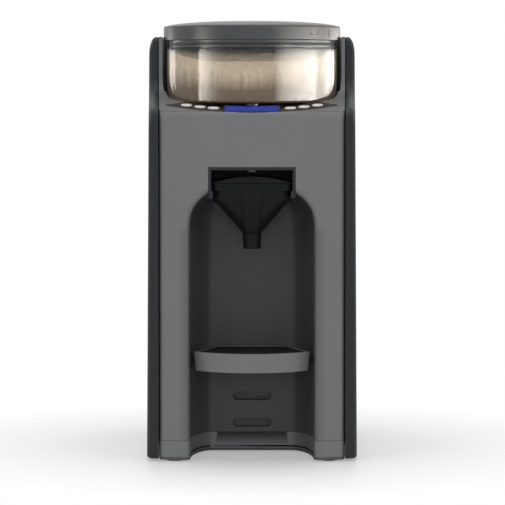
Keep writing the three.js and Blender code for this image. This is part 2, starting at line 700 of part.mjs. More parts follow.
function backCover() {
  const { halfWidth, low, high, vents, ventHeight, ventHalfWidth, ventPitch, ventLow } = rearCover;
  const through = [coverFront - over, coverBack + over];
  const plate = block([-halfWidth, halfWidth], [coverFront, coverBack], [low, high]);
  const slits = [];
  for (let i = 0; i < vents; i++) {
    const z = ventLow + i * ventPitch;
    slits.push(block([-ventHalfWidth, ventHalfWidth], through, [z, z + ventHeight]));
  }
  const [x, z] = [rocker.halfWidth + rocker.clearance, rocker.halfHeight + rocker.clearance];
  const window = block([rocker.x - x, rocker.x + x], through, [rocker.z - z, rocker.z + z]);
  const entry = rodAlongY(gland.radius + gap, through, gland.x, gland.z, gland.sides);
  const holes = screwPlaces.map(([, sx, sz]) => (
    rodAlongY(rearCover.screwShank + gap, through, sx, sz, rearCover.screwSides)
  ));
  return cut(plate, window, entry, ...slits, ...holes);
}

// A pan head screw standing on its shank's end, head up
function coverScrew() {
  const { screwShank, screwRadius, screwLength, screwHead, screwSides } = rearCover;
  const edge = screwHead / 2;
  const profile = [
    [0, -screwLength], [screwShank, -screwLength], [screwShank, 0], [screwRadius, 0], [screwRadius, edge],
    [screwRadius - edge, screwHead], [0, screwHead],
  ];
  return turned(profile, screwSides);
}

// The rocker lies with its pivot on the x axis and its face to the rear
function powerRocker() {
  const { halfWidth, halfHeight, depth, bulge } = rocker;
  const outline = [
    [bulge, -halfHeight], [bulge / 2, 0], [bulge, halfHeight], [0, halfHeight], [-depth, 0], [0, -halfHeight],
  ];
  return sideways(polygon(outline), [-halfWidth, halfWidth], 1);
}

// The gland lies with its flange's seat at the origin and its nose to +z
function cordGland() {
  const { radius, flange, flangeThickness, length, bore } = gland;
  const nose = (radius + bore) / 2;
  const profile = [
    [bore, -length], [radius, -length], [radius, 0], [flange, 0], [flange, flangeThickness],
    [radius, flangeThickness], [nose, radius], [bore, radius],
  ];
  return ring(profile, gland.sides);
}

// What stands round the hopper's axis is modelled at x = y = 0
const outletAt = -hopper.outletRadius;
function hopperSeat() {
  const disc = rod(boreRadius - gap, [level.seatLow, level.seatTop], 0, 0, hopper.sides);
  const through = [level.seatLow - over, level.seatTop + over];
  return cut(
    disc,
    rod(drive.shaftRadius + seat.holeClearance, through, 0, 0, motor.sides),
    rod(hopper.outletHole, through, 0, outletAt, chute.sides),
  );
}

function hopperBase() {
  const low = level.seatTop + gap;
  const disc = rod(hopper.baseRadius, [low, low + hopper.baseThickness], 0, 0, hopper.sides);
  const through = [low - over, hopper.bottom];
  return cut(
    disc,
    rod(hopper.hubHole, through, 0, 0, motor.sides),
    rod(hopper.outletHole, through, 0, outletAt, chute.sides),
  );
}

const edgeSteps = 3;
function hopperBowl() {
  const { radius, wall, bottom, top, edge, hubHole } = hopper;
  const [centre, height] = [radius - edge, bottom + edge];
  const bowl = ring([
    [hubHole, bottom], ...lowerEdge(centre, height, edge, edgeSteps), [radius, top], [radius - wall, top],
    ...lowerEdge(centre, height, edge - wall, edgeSteps).reverse(), [hubHole, bottom + wall],
  ], hopper.sides);
  const through = [bottom - over, level.hopperFloor + over];
  return cut(bowl, rod(hopper.outletHole, through, 0, outletAt, chute.sides));
}

// The powder fills the bowl, lies heaped and uneven on top, and leaves the stirrer its room
function formulaPowder() {
  const { rise, heap, ripple, ripples, clearance, sides, rings } = powder;
  const { radius, wall, bottom, edge } = hopper;
  const reach = radius - wall - gap;
  const contact = level.hopperFloor + rise;
  const profile = [[0, level.wheelLow]];
  profile.push(...lowerEdge(radius - edge, bottom + edge, edge - wall - gap, edgeSteps), [reach, contact]);
  for (let i = 1; i <= rings; i++) {
    const share = i / rings;
    profile.push([reach * (1 - share), contact + heap * Math.sin(share * quarterTurn)]);
  }
  const points = profile.map(([r, z]) => new THREE.Vector2(r, z));
  const shape = new THREE.LatheGeometry(points, sides).rotateX(quarterTurn);
  const place = shape.getAttribute("position");
  for (let i = 0; i < place.count; i++) {
    const [x, y, z] = [place.getX(i), place.getY(i), place.getZ(i)];
    const share = Math.hypot(x, y) / reach;
    const wave = Math.sin(ripples * Math.atan2(y, x) + share * ripples) * share;
    if (z > contact - weld) place.setZ(i, z + ripple * wave * (1 - share / 2));
  }
  const room = (radiusOf, top, facets) => (
    rod(radiusOf + clearance, [level.wheelLow - over, top + clearance], 0, 0, facets)
  );
  const arms = room(stirrer.radius, level.armTop, sides);
  return cut(solid(shape), arms, room(stirrer.hubRadius, level.stirrerTop, motor.sides));
}

function powderWheel() {
  const { radius, pockets, pocketRadius, spigotRadius, sides } = wheel;
  const disc = rod(radius, [level.wheelLow, level.wheelTop], 0, 0, sides);
  const spigot = rod(spigotRadius, [level.wheelTop - over, level.spigotTop], 0, 0, chute.sides);
  const holes = [];
  for (let i = 0; i < pockets; i++) {
    const angle = (i / pockets) * 4 * quarterTurn;
    const [x, y] = [hopper.outletRadius * Math.cos(angle), hopper.outletRadius * Math.sin(angle)];
    holes.push(rod(pocketRadius, [level.wheelLow - over, level.wheelTop + over], x, y, button.sides / 2));
  }
  const socket = dogShape(drive.dogClearance, [level.wheelLow - over, level.dogTop + gap]);
  return cut(join(disc, spigot), socket, ...holes);
}

function dogShape(grow, stretch) {
  return rod(drive.dogRadius + grow, stretch, 0, 0, drive.dogSides);
}

function driveShaft() {
  const low = level.dogTop - drive.dogHeight;
  const start = level.gearTop - motor.bossHole;
  return join(
    dogShape(0, [low, level.dogTop]),
    rod(drive.shaftRadius, [start, low + over], 0, 0, chute.sides),
  );
}

function wheelMotor() {
  const { gearRadius, gearHeight, canRadius, canHeight, bossHole, sides } = motor;
  const gearLow = level.gearTop - gearHeight;
  const low = gearLow - canHeight;
  const profile = [
    [0, low], [canRadius, low], [canRadius, gearLow], [gearRadius, gearLow], [gearRadius, level.gearTop],
    [0, level.gearTop],
  ];
  const hole = [level.gearTop - bossHole - gap, level.gearTop + over];
  return cut(turned(profile, sides), rod(drive.shaftRadius + gap, hole, 0, 0, chute.sides));
}

function motorBracket() {
  const { bracketHalfWidth, bracketHalfDepth, bracketThickness } = motor;
  const stretch = [level.bracketTop - bracketThickness, level.bracketTop];
  const plate = block([-bracketHalfWidth, bracketHalfWidth], [-bracketHalfDepth, bracketHalfDepth], stretch);
  const hole = [stretch[0] - over, stretch[1] + over];
  return cut(plate, rod(drive.shaftRadius + seat.holeClearance, hole, 0, 0, chute.sides));
}

function outletScraper() {
  const { inner, outer, thickness, halfAngle, steps } = scraper;
  const top = level.scraperLow + thickness;
  return join(
    upward(sector(inner, outer, halfAngle, steps, 0), [level.scraperLow, top], 1),
    upward(sector(scraper.foot, outer, halfAngle, steps, 0), [level.wheelLow, top], 1),
  );
}

function stirrerBody() {
  const { hubRadius, radius, armWidth, arms } = stirrer;
  const bore = wheel.spigotRadius + gap;
  const low = level.wheelTop + gap;
  const hub = turned([
    [0, level.spigotTop + gap], [bore, level.spigotTop + gap], [bore, low], [hubRadius, low],
    [hubRadius, level.stirrerTop], [0, level.stirrerTop],
  ], chute.sides);
  const spokes = [];
  for (let i = 0; i < arms; i++) {
    const start = (bore + hubRadius) / 2;
    const bar = new THREE.BoxGeometry(radius - start, armWidth, stirrer.armHeight);
    bar.translate((start + radius) / 2, 0, (level.armLow + level.armTop) / 2);
    spokes.push(solid(bar.rotateZ((i / arms) * 4 * quarterTurn + quarterTurn)));
  }
  return join(hub, ...spokes);
}

function hopperLid() {
  const { radius, sideHeight, chamfer, dome, wall, skirtDepth, skirtWall, skirtClearance } = lid;
  const low = level.lidLow;
  const skirt = hopper.radius - hopper.wall - skirtClearance;
  const [side, crest] = [low + sideHeight, low + sideHeight + chamfer];
  const inside = skirt - skirtWall;
  const arch = (reach, height, steps) => (
    bend([reach, height], [reach / 2, height + dome], [0, height + dome], steps)
  );
  const profile = [
    ...arch(radius - chamfer, crest, 4).reverse(), [radius, side], [radius, low], [skirt, low],
    [skirt, low - skirtDepth], [inside, low - skirtDepth], ...arch(inside, crest - wall, 2),
  ];
  return turned(profile, hopper.sides);
}

function lidSeal() {
  const low = level.lidLow - lid.skirtDepth + lid.sealLift;
  const outer = hopper.radius - hopper.wall - gap;
  const inner = hopper.radius - hopper.wall - lid.skirtClearance + gap;
  const high = low + lid.sealHeight;
  return ring([[inner, low], [outer, low], [outer, high], [inner, high]], hopper.sides);
}

// From the seat's outlet down to the roof of the funnel slot
function powderChute() {
  const [top, low] = [level.bracketTop, slotFrame.top + gap];
  const circle = (radius, y, z) => roundedRing(radius, radius, radius, 0, y, z, chute.sides / 4);
  const tubeOf = (radius, [lowZ, highZ]) => loft([
    circle(radius, slotFrame.chuteY, lowZ), circle(radius, slotFrame.chuteY, low + chute.radius / 2),
    circle(radius, outletY, top - chute.radius / 2), circle(radius, outletY, highZ),
  ]);
  return cut(tubeOf(chute.radius, [low, top]), tubeOf(chute.radius - chute.wall, [low - over, top + over]));
}

function funnelSlotFrame() {
  const { halfWidth, bottom, top, depth, wall, railWidth } = slotFrame;
  const inner = halfWidth - wall;
  const rails = inner - railWidth;
  const within = [-over, depth - wall];
  const outer = block([-halfWidth, halfWidth], [-over, depth], [bottom, top]);
  const faced = outer.intersect(loft([bottom - over, top + over].map((z) => planRing(0, 0, shell.split, z))));
  return cut(
    faced,
    block([-inner, inner], within, [level.railTop, top - wall]),
    block([-rails, rails], within, [bottom - over, level.railTop + over]),
    rod(chute.radius - chute.wall, [top - wall - over, top + over], 0, slotFrame.chuteY, chute.sides),
    rod(nozzle.radius + gap, [top - wall - over, top + over], 0, slotFrame.nozzleY, nozzle.sides),
  );
}

const nozzleTop = slotFrame.top + gap + nozzle.collarHeight;
function waterNozzle() {
  const { radius, collar, drop, sides } = nozzle;
  const [low, under] = [slotFrame.top - slotFrame.wall - drop, slotFrame.top + gap];
  const profile = [
    [hose.bore, low], [radius, low], [radius, under], [collar, under], [collar, nozzleTop],
    [hose.bore, nozzleTop],
  ];
  return ring(profile, sides, 0, slotFrame.nozzleY);
}

function mixingFunnel() {
  const steps = 3;
  const { frontY, backY, flangeCorner, bodyCorner, outletY: spoutY, clearance } = funnel;
  const middle = (frontY + backY) / 2;
  const flangeX = slotFrame.halfWidth - slotFrame.wall - clearance;
  const bodyX = flangeX - slotFrame.railWidth;
  const flangeY = (backY - frontY) / 2;
  const bodyY = flangeY - slotFrame.railWidth;
  const { shoulderShare, waistShare, waistRadius, neckShare, neckRadius, tipRadius } = funnel;
  const { ribHalfWidth, ribRise } = funnel;
  const [shoulder, waist, neck, tip] = [shoulderShare, waistShare, neckShare, 1].map((share) => (
    level.railTop - funnel.drop * share
  ));
  const bodyRings = (inset, high, low) => [
    roundedRing(bodyX - inset, bodyY - inset, bodyCorner, 0, middle, high, steps),
    roundedRing(bodyX - inset, bodyY - inset, bodyCorner, 0, middle, shoulder, steps),
    roundedRing(waistRadius - inset, waistRadius - inset, waistRadius, 0, spoutY, waist, steps),
    roundedRing(neckRadius - inset, neckRadius - inset, neckRadius, 0, spoutY, neck, steps),
    roundedRing(tipRadius - inset, tipRadius - inset, tipRadius, 0, spoutY, low, steps),
  ];
  const flange = loft([level.flangeLow, level.flangeTop].map((z) => (
    roundedRing(flangeX, flangeY, flangeCorner, 0, middle, z, steps)
  )));
  const [high, mid, narrow] = funnel.ribShares.map((share) => ribHalfWidth * share);
  const ribs = loft([
    roundedRing(high, bodyY + ribRise, ribRise, 0, middle, level.flangeLow + gap, steps),
    roundedRing(high, bodyY + ribRise, ribRise, 0, middle, shoulder, steps),
    roundedRing(mid, waistRadius + ribRise, ribRise, 0, spoutY, waist, steps),
    roundedRing(narrow, neckRadius + ribRise, ribRise, 0, spoutY, neck, steps),
  ]);
  const outer = loft(bodyRings(0, level.flangeLow + gap, tip));
  return cut(join(outer, flange, ribs), loft(bodyRings(funnel.wall, level.flangeTop + over, tip - over)));
}

function funnelCover() {
  const { rise, wall, inset, mouthHalfWidth, mouthFront, mouthBack } = cover;
  const low = level.flangeTop + gap;
  const half = slotFrame.halfWidth - slotFrame.wall - funnel.clearance - inset;
  const arch = (grow, base) => polygon([
    [half + grow, base],
    ...bend([half + grow, low + wall / 2], [0, low + 2 * rise - wall / 2], [-half - grow, low + wall / 2], 8)
      .map(([x, z]) => [x, z + grow]),
    [-half - grow, base],
  ]);
  const [front, back] = [funnel.frontY + inset, funnel.backY - inset];
  const shellOut = backward(arch(0, low), [front, back], 1);
  const shellIn = backward(arch(-wall, low - over), [front + wall, back - wall], 1);
  const mouthMiddle = (mouthFront + mouthBack) / 2;
  const mouth = loft([low - over, low + rise + over].map((z) => (
    roundedRing(mouthHalfWidth, (mouthBack - mouthFront) / 2, mouthHalfWidth, 0, mouthMiddle, z, 4)
  )));
  return cut(shellOut, shellIn, mouth);
}

// The display window has curved ends and straight sides
function windowOutline(grow) {
  const [inner, outer] = [band.windowInner - grow, band.windowOuter + grow];
  const [innerAngle, outerAngle] = [inner, outer].map((radius) => (
    Math.asin((panel.windowHalfWidth + grow) / radius)
  ));
  return sector(inner, outer, outerAngle, panel.steps, hopper.y, innerAngle);
}

function controlPanel() {
  const face = sector(boreRadius + gap, band.outer, panel.halfAngle, panel.steps, hopper.y);
  return cut(
    overLedge(face, panel.rise - panel.thickness, panel.rise),
    overLedge(windowOutline(gap), panel.rise - panel.thickness - over, panel.rise + over),
    ...buttonPlaces.map(buttonHole),
  );
}

function displayWindow() {
  return overLedge(windowOutline(0), panel.rise - panel.thickness, panel.rise, panel.windowTilt);
}

function controlBoard() {
  const [inner, outer] = [band.middle - board.width / 2, band.middle + board.width / 2];
  const face = sector(inner, outer, board.halfAngle, panel.steps, hopper.y);
  return overLedge(face, -board.drop - board.thickness, -board.drop);
}

function mainBoardBody() {
  const { side: x, front, depth, low, height, chip, chipRise } = mainBoard;
  const middle = [front + depth / 2, low + height / 2];
  return join(
    block([x, x + board.thickness], [front, front + depth], [low, low + height]),
    block([x - chipRise, x + board.thickness / 2], [middle[0] - chip, middle[0] + chip],
      [middle[1] - chip, middle[1] + chip]),
  );
}

function waterTank() {
  const { halfWidth, front, depth, top, corner, wall, outletY: y, neckRadius, neckWall, neckLength } = tank;
  const bottom = level.tankLow;
  const outer = roundedBox(halfWidth, [front, front + depth], [bottom, top], corner, 3);
  const inner = roundedBox(
    halfWidth - wall, [front + wall, front + depth - wall], [bottom + wall, top + over], corner - wall, 3,
  );
  const neck = rod(neckRadius, [bottom - neckLength, bottom + wall], 0, y, platform.cupSides);
  const through = [bottom - neckLength - over, bottom + wall + over];
  const bore = rod(neckRadius - neckWall, through, 0, y, platform.cupSides);
  const ears = [-1, 1].map((sign) => {
    const xs = [sign * tank.earIn, sign * (tank.earIn + tank.earWidth)].sort((a, b) => a - b);
    return block(xs, [front, front + tank.earReach], [top - tank.earDepth, level.lidBarrel + tank.barrel]);
  });
  return cut(join(cut(outer, inner), neck, ...ears), bore, pinBore());
}

const hingeY = tank.front + tank.hingeInset;
function pinBore() {
  const reach = tank.halfWidth + over;
  return rodAlongX(tank.pinRadius + gap, [-reach, reach], hingeY, level.lidBarrel, valve.sides);
}

function tankHingePin() {
  const reach = tank.earIn + tank.earWidth;
  return rodAlongX(tank.pinRadius, [-reach, reach], hingeY, level.lidBarrel, valve.sides);
}

function tankLid() {
  const { halfWidth, front, depth, corner, lidHeight, lidWall, lidGap, barrel, earReach, earIn } = tank;
  const [low, back] = [tank.top + gap, front + depth];
  const plateFront = front + earReach + lidGap;
  const high = low + lidHeight;
  const knuckle = earIn - gap;
  const plate = roundedBox(halfWidth, [plateFront, back], [low, high], corner / 2, 3);
  const bridge = block([-knuckle, knuckle], [hingeY, plateFront + corner / 2], [low, high]);
  const roller = rodAlongX(barrel, [-knuckle, knuckle], hingeY, level.lidBarrel, valve.sides);
  const under = roundedBox(
    halfWidth - lidWall, [plateFront + lidWall, back - lidWall], [low - over, high - lidWall], corner / 2, 3,
  );
  return cut(join(plate, bridge, roller), under, pinBore());
}

function tankSeal() {
  const low = level.tankLow - tank.neckLength + seal.lift;
  const inner = tank.neckRadius + gap;
  const outer = inner + seal.width;
  return ring([[inner, low], [outer, low], [outer, low + seal.height], [inner, low + seal.height]],
    platform.cupSides, 0, tank.outletY);
}

function tankOutletValve() {
  const { radius, thickness, stemRadius, stem, sides } = valve;
  const low = level.pinTop + gap;
  const profile = [
    [0, low], [radius, low], [radius, low + thickness], [stemRadius, low + thickness],
    [stemRadius, low + thickness + stem], [0, low + thickness + stem],
  ];
  return turned(profile, sides, 0, tank.outletY);
}

function tankSeatValve() {
  const { cupRadius, cupWall, cupFloor, cupRim, nippleLength, pinRadius, cupSides, height } = platform;
  const { nippleLow, pinTop } = level;
  const [flange, under, top] = [cupRadius + cupWall, level.platformLow - gap, height - gap];
  const cupLow = nippleLow + nippleLength;
  const [rimLow, floor] = [under - cupRim, cupLow + cupFloor];
  const profile = [
    [0, nippleLow], [hose.radius, nippleLow], [hose.radius, cupLow], [cupRadius, cupLow], [cupRadius, rimLow],
    [flange, rimLow], [flange, under], [cupRadius, under], [cupRadius, top], [cupRadius - cupWall, top],
    [cupRadius - cupWall, floor], [pinRadius, floor], [pinRadius, pinTop], [0, pinTop],
  ];
  return turned(profile, cupSides, 0, tank.outletY);
}

function waterPump() {
  const { x, z, radius, front, length, headLength, headHalf, footHalf } = pump;
  const head = front + length;
  return join(
    rodAlongY(radius, [front, head + over], x, z, heater.sides),
    block([x - headHalf, x + headHalf], [head, head + headLength], [z - headHalf, z + headHalf]),
    block([x - footHalf, x + footHalf], [front + footHalf, head], [level.machineFloor, z - radius / 2]),
  );
}

const pumpRear = pump.front + pump.length + pump.headLength;
function flowSensor() {
  const [front, back] = [pumpRear + gap, pumpRear + gap + flow.length];
  const half = flow.radius / 2;
  return join(
    rodAlongY(flow.radius, [front, back], pump.x, pump.z, flow.sides),
    block([pump.x - half, pump.x + half], [front + half, back - half], [level.machineFloor, pump.z]),
  );
}

const heaterTop = level.machineFloor + heater.height;
function waterHeater() {
  const { x, y, radius, ports, portRadius, portRise, sides } = heater;
  const ends = [-1, 1].map((sign) => (
    rod(portRadius, [heaterTop - over, heaterTop + portRise], x + sign * ports, y, flow.sides)
  ));
  return join(rod(radius, [level.machineFloor, heaterTop], x, y, sides), ...ends);
}

function powerSupply() {
  const { left, width, front, depth, height, blockHeight, blockInset, blockWidth, can, canInset } = supply;
  const low = level.machineFloor;
  const [start, back] = [left + blockInset, front + depth];
  return join(
    block([left, left + width], [front, back], [low, low + height]),
    block([start, start + blockWidth], [front + blockInset, back - blockInset], [low, low + blockHeight]),
    rod(can, [low, low + blockHeight], left + width - can - canInset, front + depth / 2, flow.sides),
  );
}

const portTop = heaterTop + heater.portRise + gap;
function tankHose() {
  const start = pumpRear + 2 * gap + flow.length;
  return hoseAlong([
    [pump.x, start, pump.z], [pump.x, start + hose.lead, pump.z], ...hose.fromTank,
    [0, tank.outletY, level.nippleLow - hose.lead], [0, tank.outletY, level.nippleLow - gap],
  ]);
}

function pumpHose() {
  const y = pump.front + pump.length + pump.headLength / 2;
  const top = pump.z + pump.headHalf + gap;
  const port = heater.x + heater.ports;
  return hoseAlong([
    [pump.x, y, top], [pump.x, y, top + hose.lead], ...hose.fromPump,
    [port, heater.y, portTop + hose.lead], [port, heater.y, portTop],
  ]);
}

function outletHose() {
  const port = heater.x - heater.ports;
  return hoseAlong([
    [port, heater.y, portTop], [port, heater.y, portTop + hose.lead], ...hose.toNozzle,
    [0, slotFrame.nozzleY, nozzleTop + hose.lead], [0, slotFrame.nozzleY, nozzleTop + gap],
  ]);
}

// The shelf in plan: a bold curve in front, tapered towards the back wall
function shelfRing(inset, z) {
  const { noseY, cornerY, halfWidth, rearHalfWidth, rearY, steps } = shelf;
  const sagitta = cornerY - noseY;
  const radius = (halfWidth ** 2 + sagitta ** 2) / (2 * sagitta);
  const angle = Math.asin(halfWidth / radius);
  const points = [[-rearHalfWidth + inset, rearY - inset, z]];
  for (let i = 0; i <= steps; i++) {
    const turn = angle * ((2 * i) / steps - 1);
    points.push([(radius - inset) * Math.sin(turn), noseY + radius - (radius - inset) * Math.cos(turn), z]);
  }
  points.push([rearHalfWidth - inset, rearY - inset, z]);
  return points;
}

function bottleShelf() {
  const { bottom, thickness, draft, plate, wall, matDepth, matInset, rearY, hookHalfWidth, tongue } = shelf;
  const top = bottom + thickness;
  const body = loft([shelfRing(draft, bottom), shelfRing(0, top)]);
  const hollow = loft([shelfRing(draft + wall, bottom - over), shelfRing(wall, top - plate)]);
  const recess = loft([top - matDepth - gap, top + over].map((z) => shelfRing(matInset, z)));
  const slotLow = slots.lowest + (slots.count - 1) * slots.pitch;
  const [tongueLow, tongueHigh] = [slotLow + 2 * gap, slotLow + slots.height - 2 * gap];
  const width = [-hookHalfWidth, hookHalfWidth];
  const hook = block(width, [rearY - draft - wall, rearY], [tongueLow, bottom + plate]);
  const blade = block(width, [rearY - wall, bay.depth + tongue], [tongueLow, tongueHigh]);
  return join(cut(body, hollow, recess), hook, blade);
}

function shelfMat() {
  const top = shelf.bottom + shelf.thickness;
  const { matDepth, matInset } = shelf;
  return loft([top - matDepth, top - gap].map((z) => shelfRing(matInset + gap, z)));
}

// The assembly
const machine = new THREE.Group();
const rearReach = tank.front + tank.depth;
machine.position.y = -(shelf.noseY + rearReach) / 2;
root.add(machine);

add(machine, "front_housing", frontHousing(), slate);
add(machine, "bay_liner", bayLiner(), charcoal);
add(machine, "base_plinth", basePlinth(), slate);
add(machine, "bottom_cover", bottomCover(), black);
for (const [name, x, y] of footPlaces) add(machine, name, footPad(), rubber).position.set(x, y, 0);
add(machine, "left_side_panel", sidePanel(-1), black);
add(machine, "right_side_panel", sidePanel(1), black);
add(machine, "rear_housing", rearHousing(), black);
add(machine, "back_cover", backCover(), black);
for (const [name, x, z] of screwPlaces) {
  const screw = add(machine, name, coverScrew(), steel);
  screw.rotation.x = -quarterTurn;
  screw.position.set(x, coverBack + gap, z);
}
const rockerTilt = 0.1;
const switchMesh = add(machine, "power_switch", powerRocker(), gloss);
switchMesh.rotation.x = -rockerTilt;
switchMesh.position.set(rocker.x, coverBack, rocker.z);
const glandMesh = add(machine, "cord_gland", cordGland(), rubber);
glandMesh.rotation.x = -quarterTurn;
glandMesh.position.set(gland.x, coverBack + gap, gland.z);

const hopperAxis = new THREE.Group();
hopperAxis.position.y = hopper.y;
machine.add(hopperAxis);
add(hopperAxis, "hopper_seat", hopperSeat(), black);
add(hopperAxis, "hopper_base", hopperBase(), black);
add(hopperAxis, "hopper_bowl", hopperBowl(), clear);
add(hopperAxis, "formula_powder", formulaPowder(), cream);
add(hopperAxis, "powder_wheel", powderWheel(), white);
add(hopperAxis, "outlet_scraper", outletScraper(), silicone);
add(hopperAxis, "stirrer", stirrerBody(), white);
add(hopperAxis, "hopper_lid", hopperLid(), smoke);
add(hopperAxis, "lid_seal", lidSeal(), silicone);
add(hopperAxis, "drive_shaft", driveShaft(), steel);
add(hopperAxis, "wheel_motor", wheelMotor(), steel);
add(hopperAxis, "motor_bracket", motorBracket(), black);

add(machine, "powder_chute", powderChute(), white);
add(machine, "funnel_slot_frame", funnelSlotFrame(), black);
add(machine, "water_nozzle", waterNozzle(), white);
add(machine, "mixing_funnel", mixingFunnel(), black);
add(machine, "funnel_cover", funnelCover(), black);
add(machine, "bottle_shelf", bottleShelf(), slate);
add(machine, "shelf_mat", shelfMat(), rubber);
add(machine, "control_panel", controlPanel(), gloss);
add(machine, "display_window", displayWindow(), blue);
add(machine, "control_board", controlBoard(), green);
add(machine, "main_board", mainBoardBody(), green);
const buttonNames = ["left_inner", "left_middle", "left_outer", "right_inner", "right_middle", "right_outer"];
buttonPlaces.forEach((angle, i) => {
  const cap = solid(buttonShape(0, -button.skirt, button.rise));
  setOnLedge(add(machine, "button_" + buttonNames[i], cap, white), angle);
});
add(machine, "power_supply", powerSupply(), green);
add(machine, "water_pump", waterPump(), steel);
add(machine, "flow_sensor", flowSensor(), white);
add(machine, "water_heater", waterHeater(), steel);
add(machine, "tank_hose", tankHose(), silicone);
add(machine, "pump_hose", pumpHose(), silicone);
add(machine, "outlet_hose", outletHose(), silicone);
add(machine, "tank_seat_valve", tankSeatValve(), white);
add(machine, "water_tank", waterTank(), clear);
add(machine, "tank_outlet_valve", tankOutletValve(), white);
add(machine, "tank_seal", tankSeal(), silicone);
add(machine, "tank_lid", tankLid(), smoke);
add(machine, "tank_hinge_pin", tankHingePin(), steel);

export default root;
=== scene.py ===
import json
import math
from contextlib import contextmanager

import bmesh
import bpy
from mathutils import Matrix, Vector, noise

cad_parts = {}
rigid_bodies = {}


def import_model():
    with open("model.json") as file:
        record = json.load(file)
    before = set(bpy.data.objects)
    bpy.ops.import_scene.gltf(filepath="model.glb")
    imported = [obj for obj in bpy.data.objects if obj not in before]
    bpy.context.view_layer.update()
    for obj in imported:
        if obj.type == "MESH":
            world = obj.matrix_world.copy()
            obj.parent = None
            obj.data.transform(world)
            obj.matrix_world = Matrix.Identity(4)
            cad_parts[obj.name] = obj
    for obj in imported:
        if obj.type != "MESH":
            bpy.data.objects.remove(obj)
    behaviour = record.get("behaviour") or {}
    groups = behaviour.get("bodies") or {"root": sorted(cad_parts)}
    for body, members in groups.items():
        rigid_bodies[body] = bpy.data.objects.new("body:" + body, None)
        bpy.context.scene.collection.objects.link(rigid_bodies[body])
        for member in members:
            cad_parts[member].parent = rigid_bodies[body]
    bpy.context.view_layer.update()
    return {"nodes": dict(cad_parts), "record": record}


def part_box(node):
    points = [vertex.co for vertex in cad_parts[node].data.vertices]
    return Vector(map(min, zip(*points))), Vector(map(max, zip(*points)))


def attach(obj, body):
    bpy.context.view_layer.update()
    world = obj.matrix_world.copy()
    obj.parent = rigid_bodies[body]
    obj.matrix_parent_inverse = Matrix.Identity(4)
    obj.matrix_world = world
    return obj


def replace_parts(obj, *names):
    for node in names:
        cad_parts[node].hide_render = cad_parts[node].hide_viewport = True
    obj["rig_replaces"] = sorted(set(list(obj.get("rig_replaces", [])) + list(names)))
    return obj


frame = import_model()
record = frame["record"]
slotOf = {part["node"]: part["material_slot"] for part in record["subparts"]}
bodyOf = {node: body for body, nodes in record["behaviour"]["bodies"].items() for node in nodes}
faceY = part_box("front_housing")[0][1]  # the middle of the front face
quarter = math.pi / 2
gap = 0.3   # clearance between pieces, mm
over = 2    # how far a cut runs past what it cuts, mm
print("frame loaded")


def addObject(name, data):
    made = bpy.data.objects.new(name, data)
    bpy.context.scene.collection.objects.link(made)
    return made


# Camera, at the photograph's angle

camera = {"distance": 2.6, "side": 0.0005, "height": 0.332, "tiltDown": 3.135, "lens": 206.7, "sensor": 36}
cameraData = bpy.data.cameras.new("camera")
cameraData.lens, cameraData.sensor_width = camera["lens"], camera["sensor"]
cameraObject = addObject("camera", cameraData)
cameraObject.location = (camera["side"], faceY - camera["distance"], camera["height"])
cameraObject.rotation_euler = (quarter - math.radians(camera["tiltDown"]), 0, 0)
bpy.context.scene.camera = cameraObject
bpy.context.scene.view_settings.view_transform = "Standard"


class Wire:  # a shader socket that Python's own signs work on
    def __init__(self, finish, socket):
        self.finish, self.socket = finish, socket

    def calc(self, operation, first, second, clamp=False):
        settings = {"operation": operation, "use_clamp": clamp}
        return self.finish.node("ShaderNodeMath", settings, {0: first, 1: second})

    def __add__(self, other):
        return self.calc("ADD", self, other)

    def __sub__(self, other):
        return self.calc("SUBTRACT", self, other)

    def __rsub__(self, other):
        return self.calc("SUBTRACT", other, self)

    def __mul__(self, other):
        return self.calc("MULTIPLY", self, other)

    def __pow__(self, other):
        return self.calc("POWER", self, other)

    __radd__ = __add__
    __rmul__ = __mul__

    def size(self):
        return self.calc("ABSOLUTE", self, 0)

    def above(self, level):
        return self.calc("GREATER_THAN", self, level)

    def clipped(self):
        return self.calc("ADD", self, 0, clamp=True)

    def between(self, low, high):  # 0 at low, 1 at high
        return ((self - low) * (1 / (high - low))).clipped()


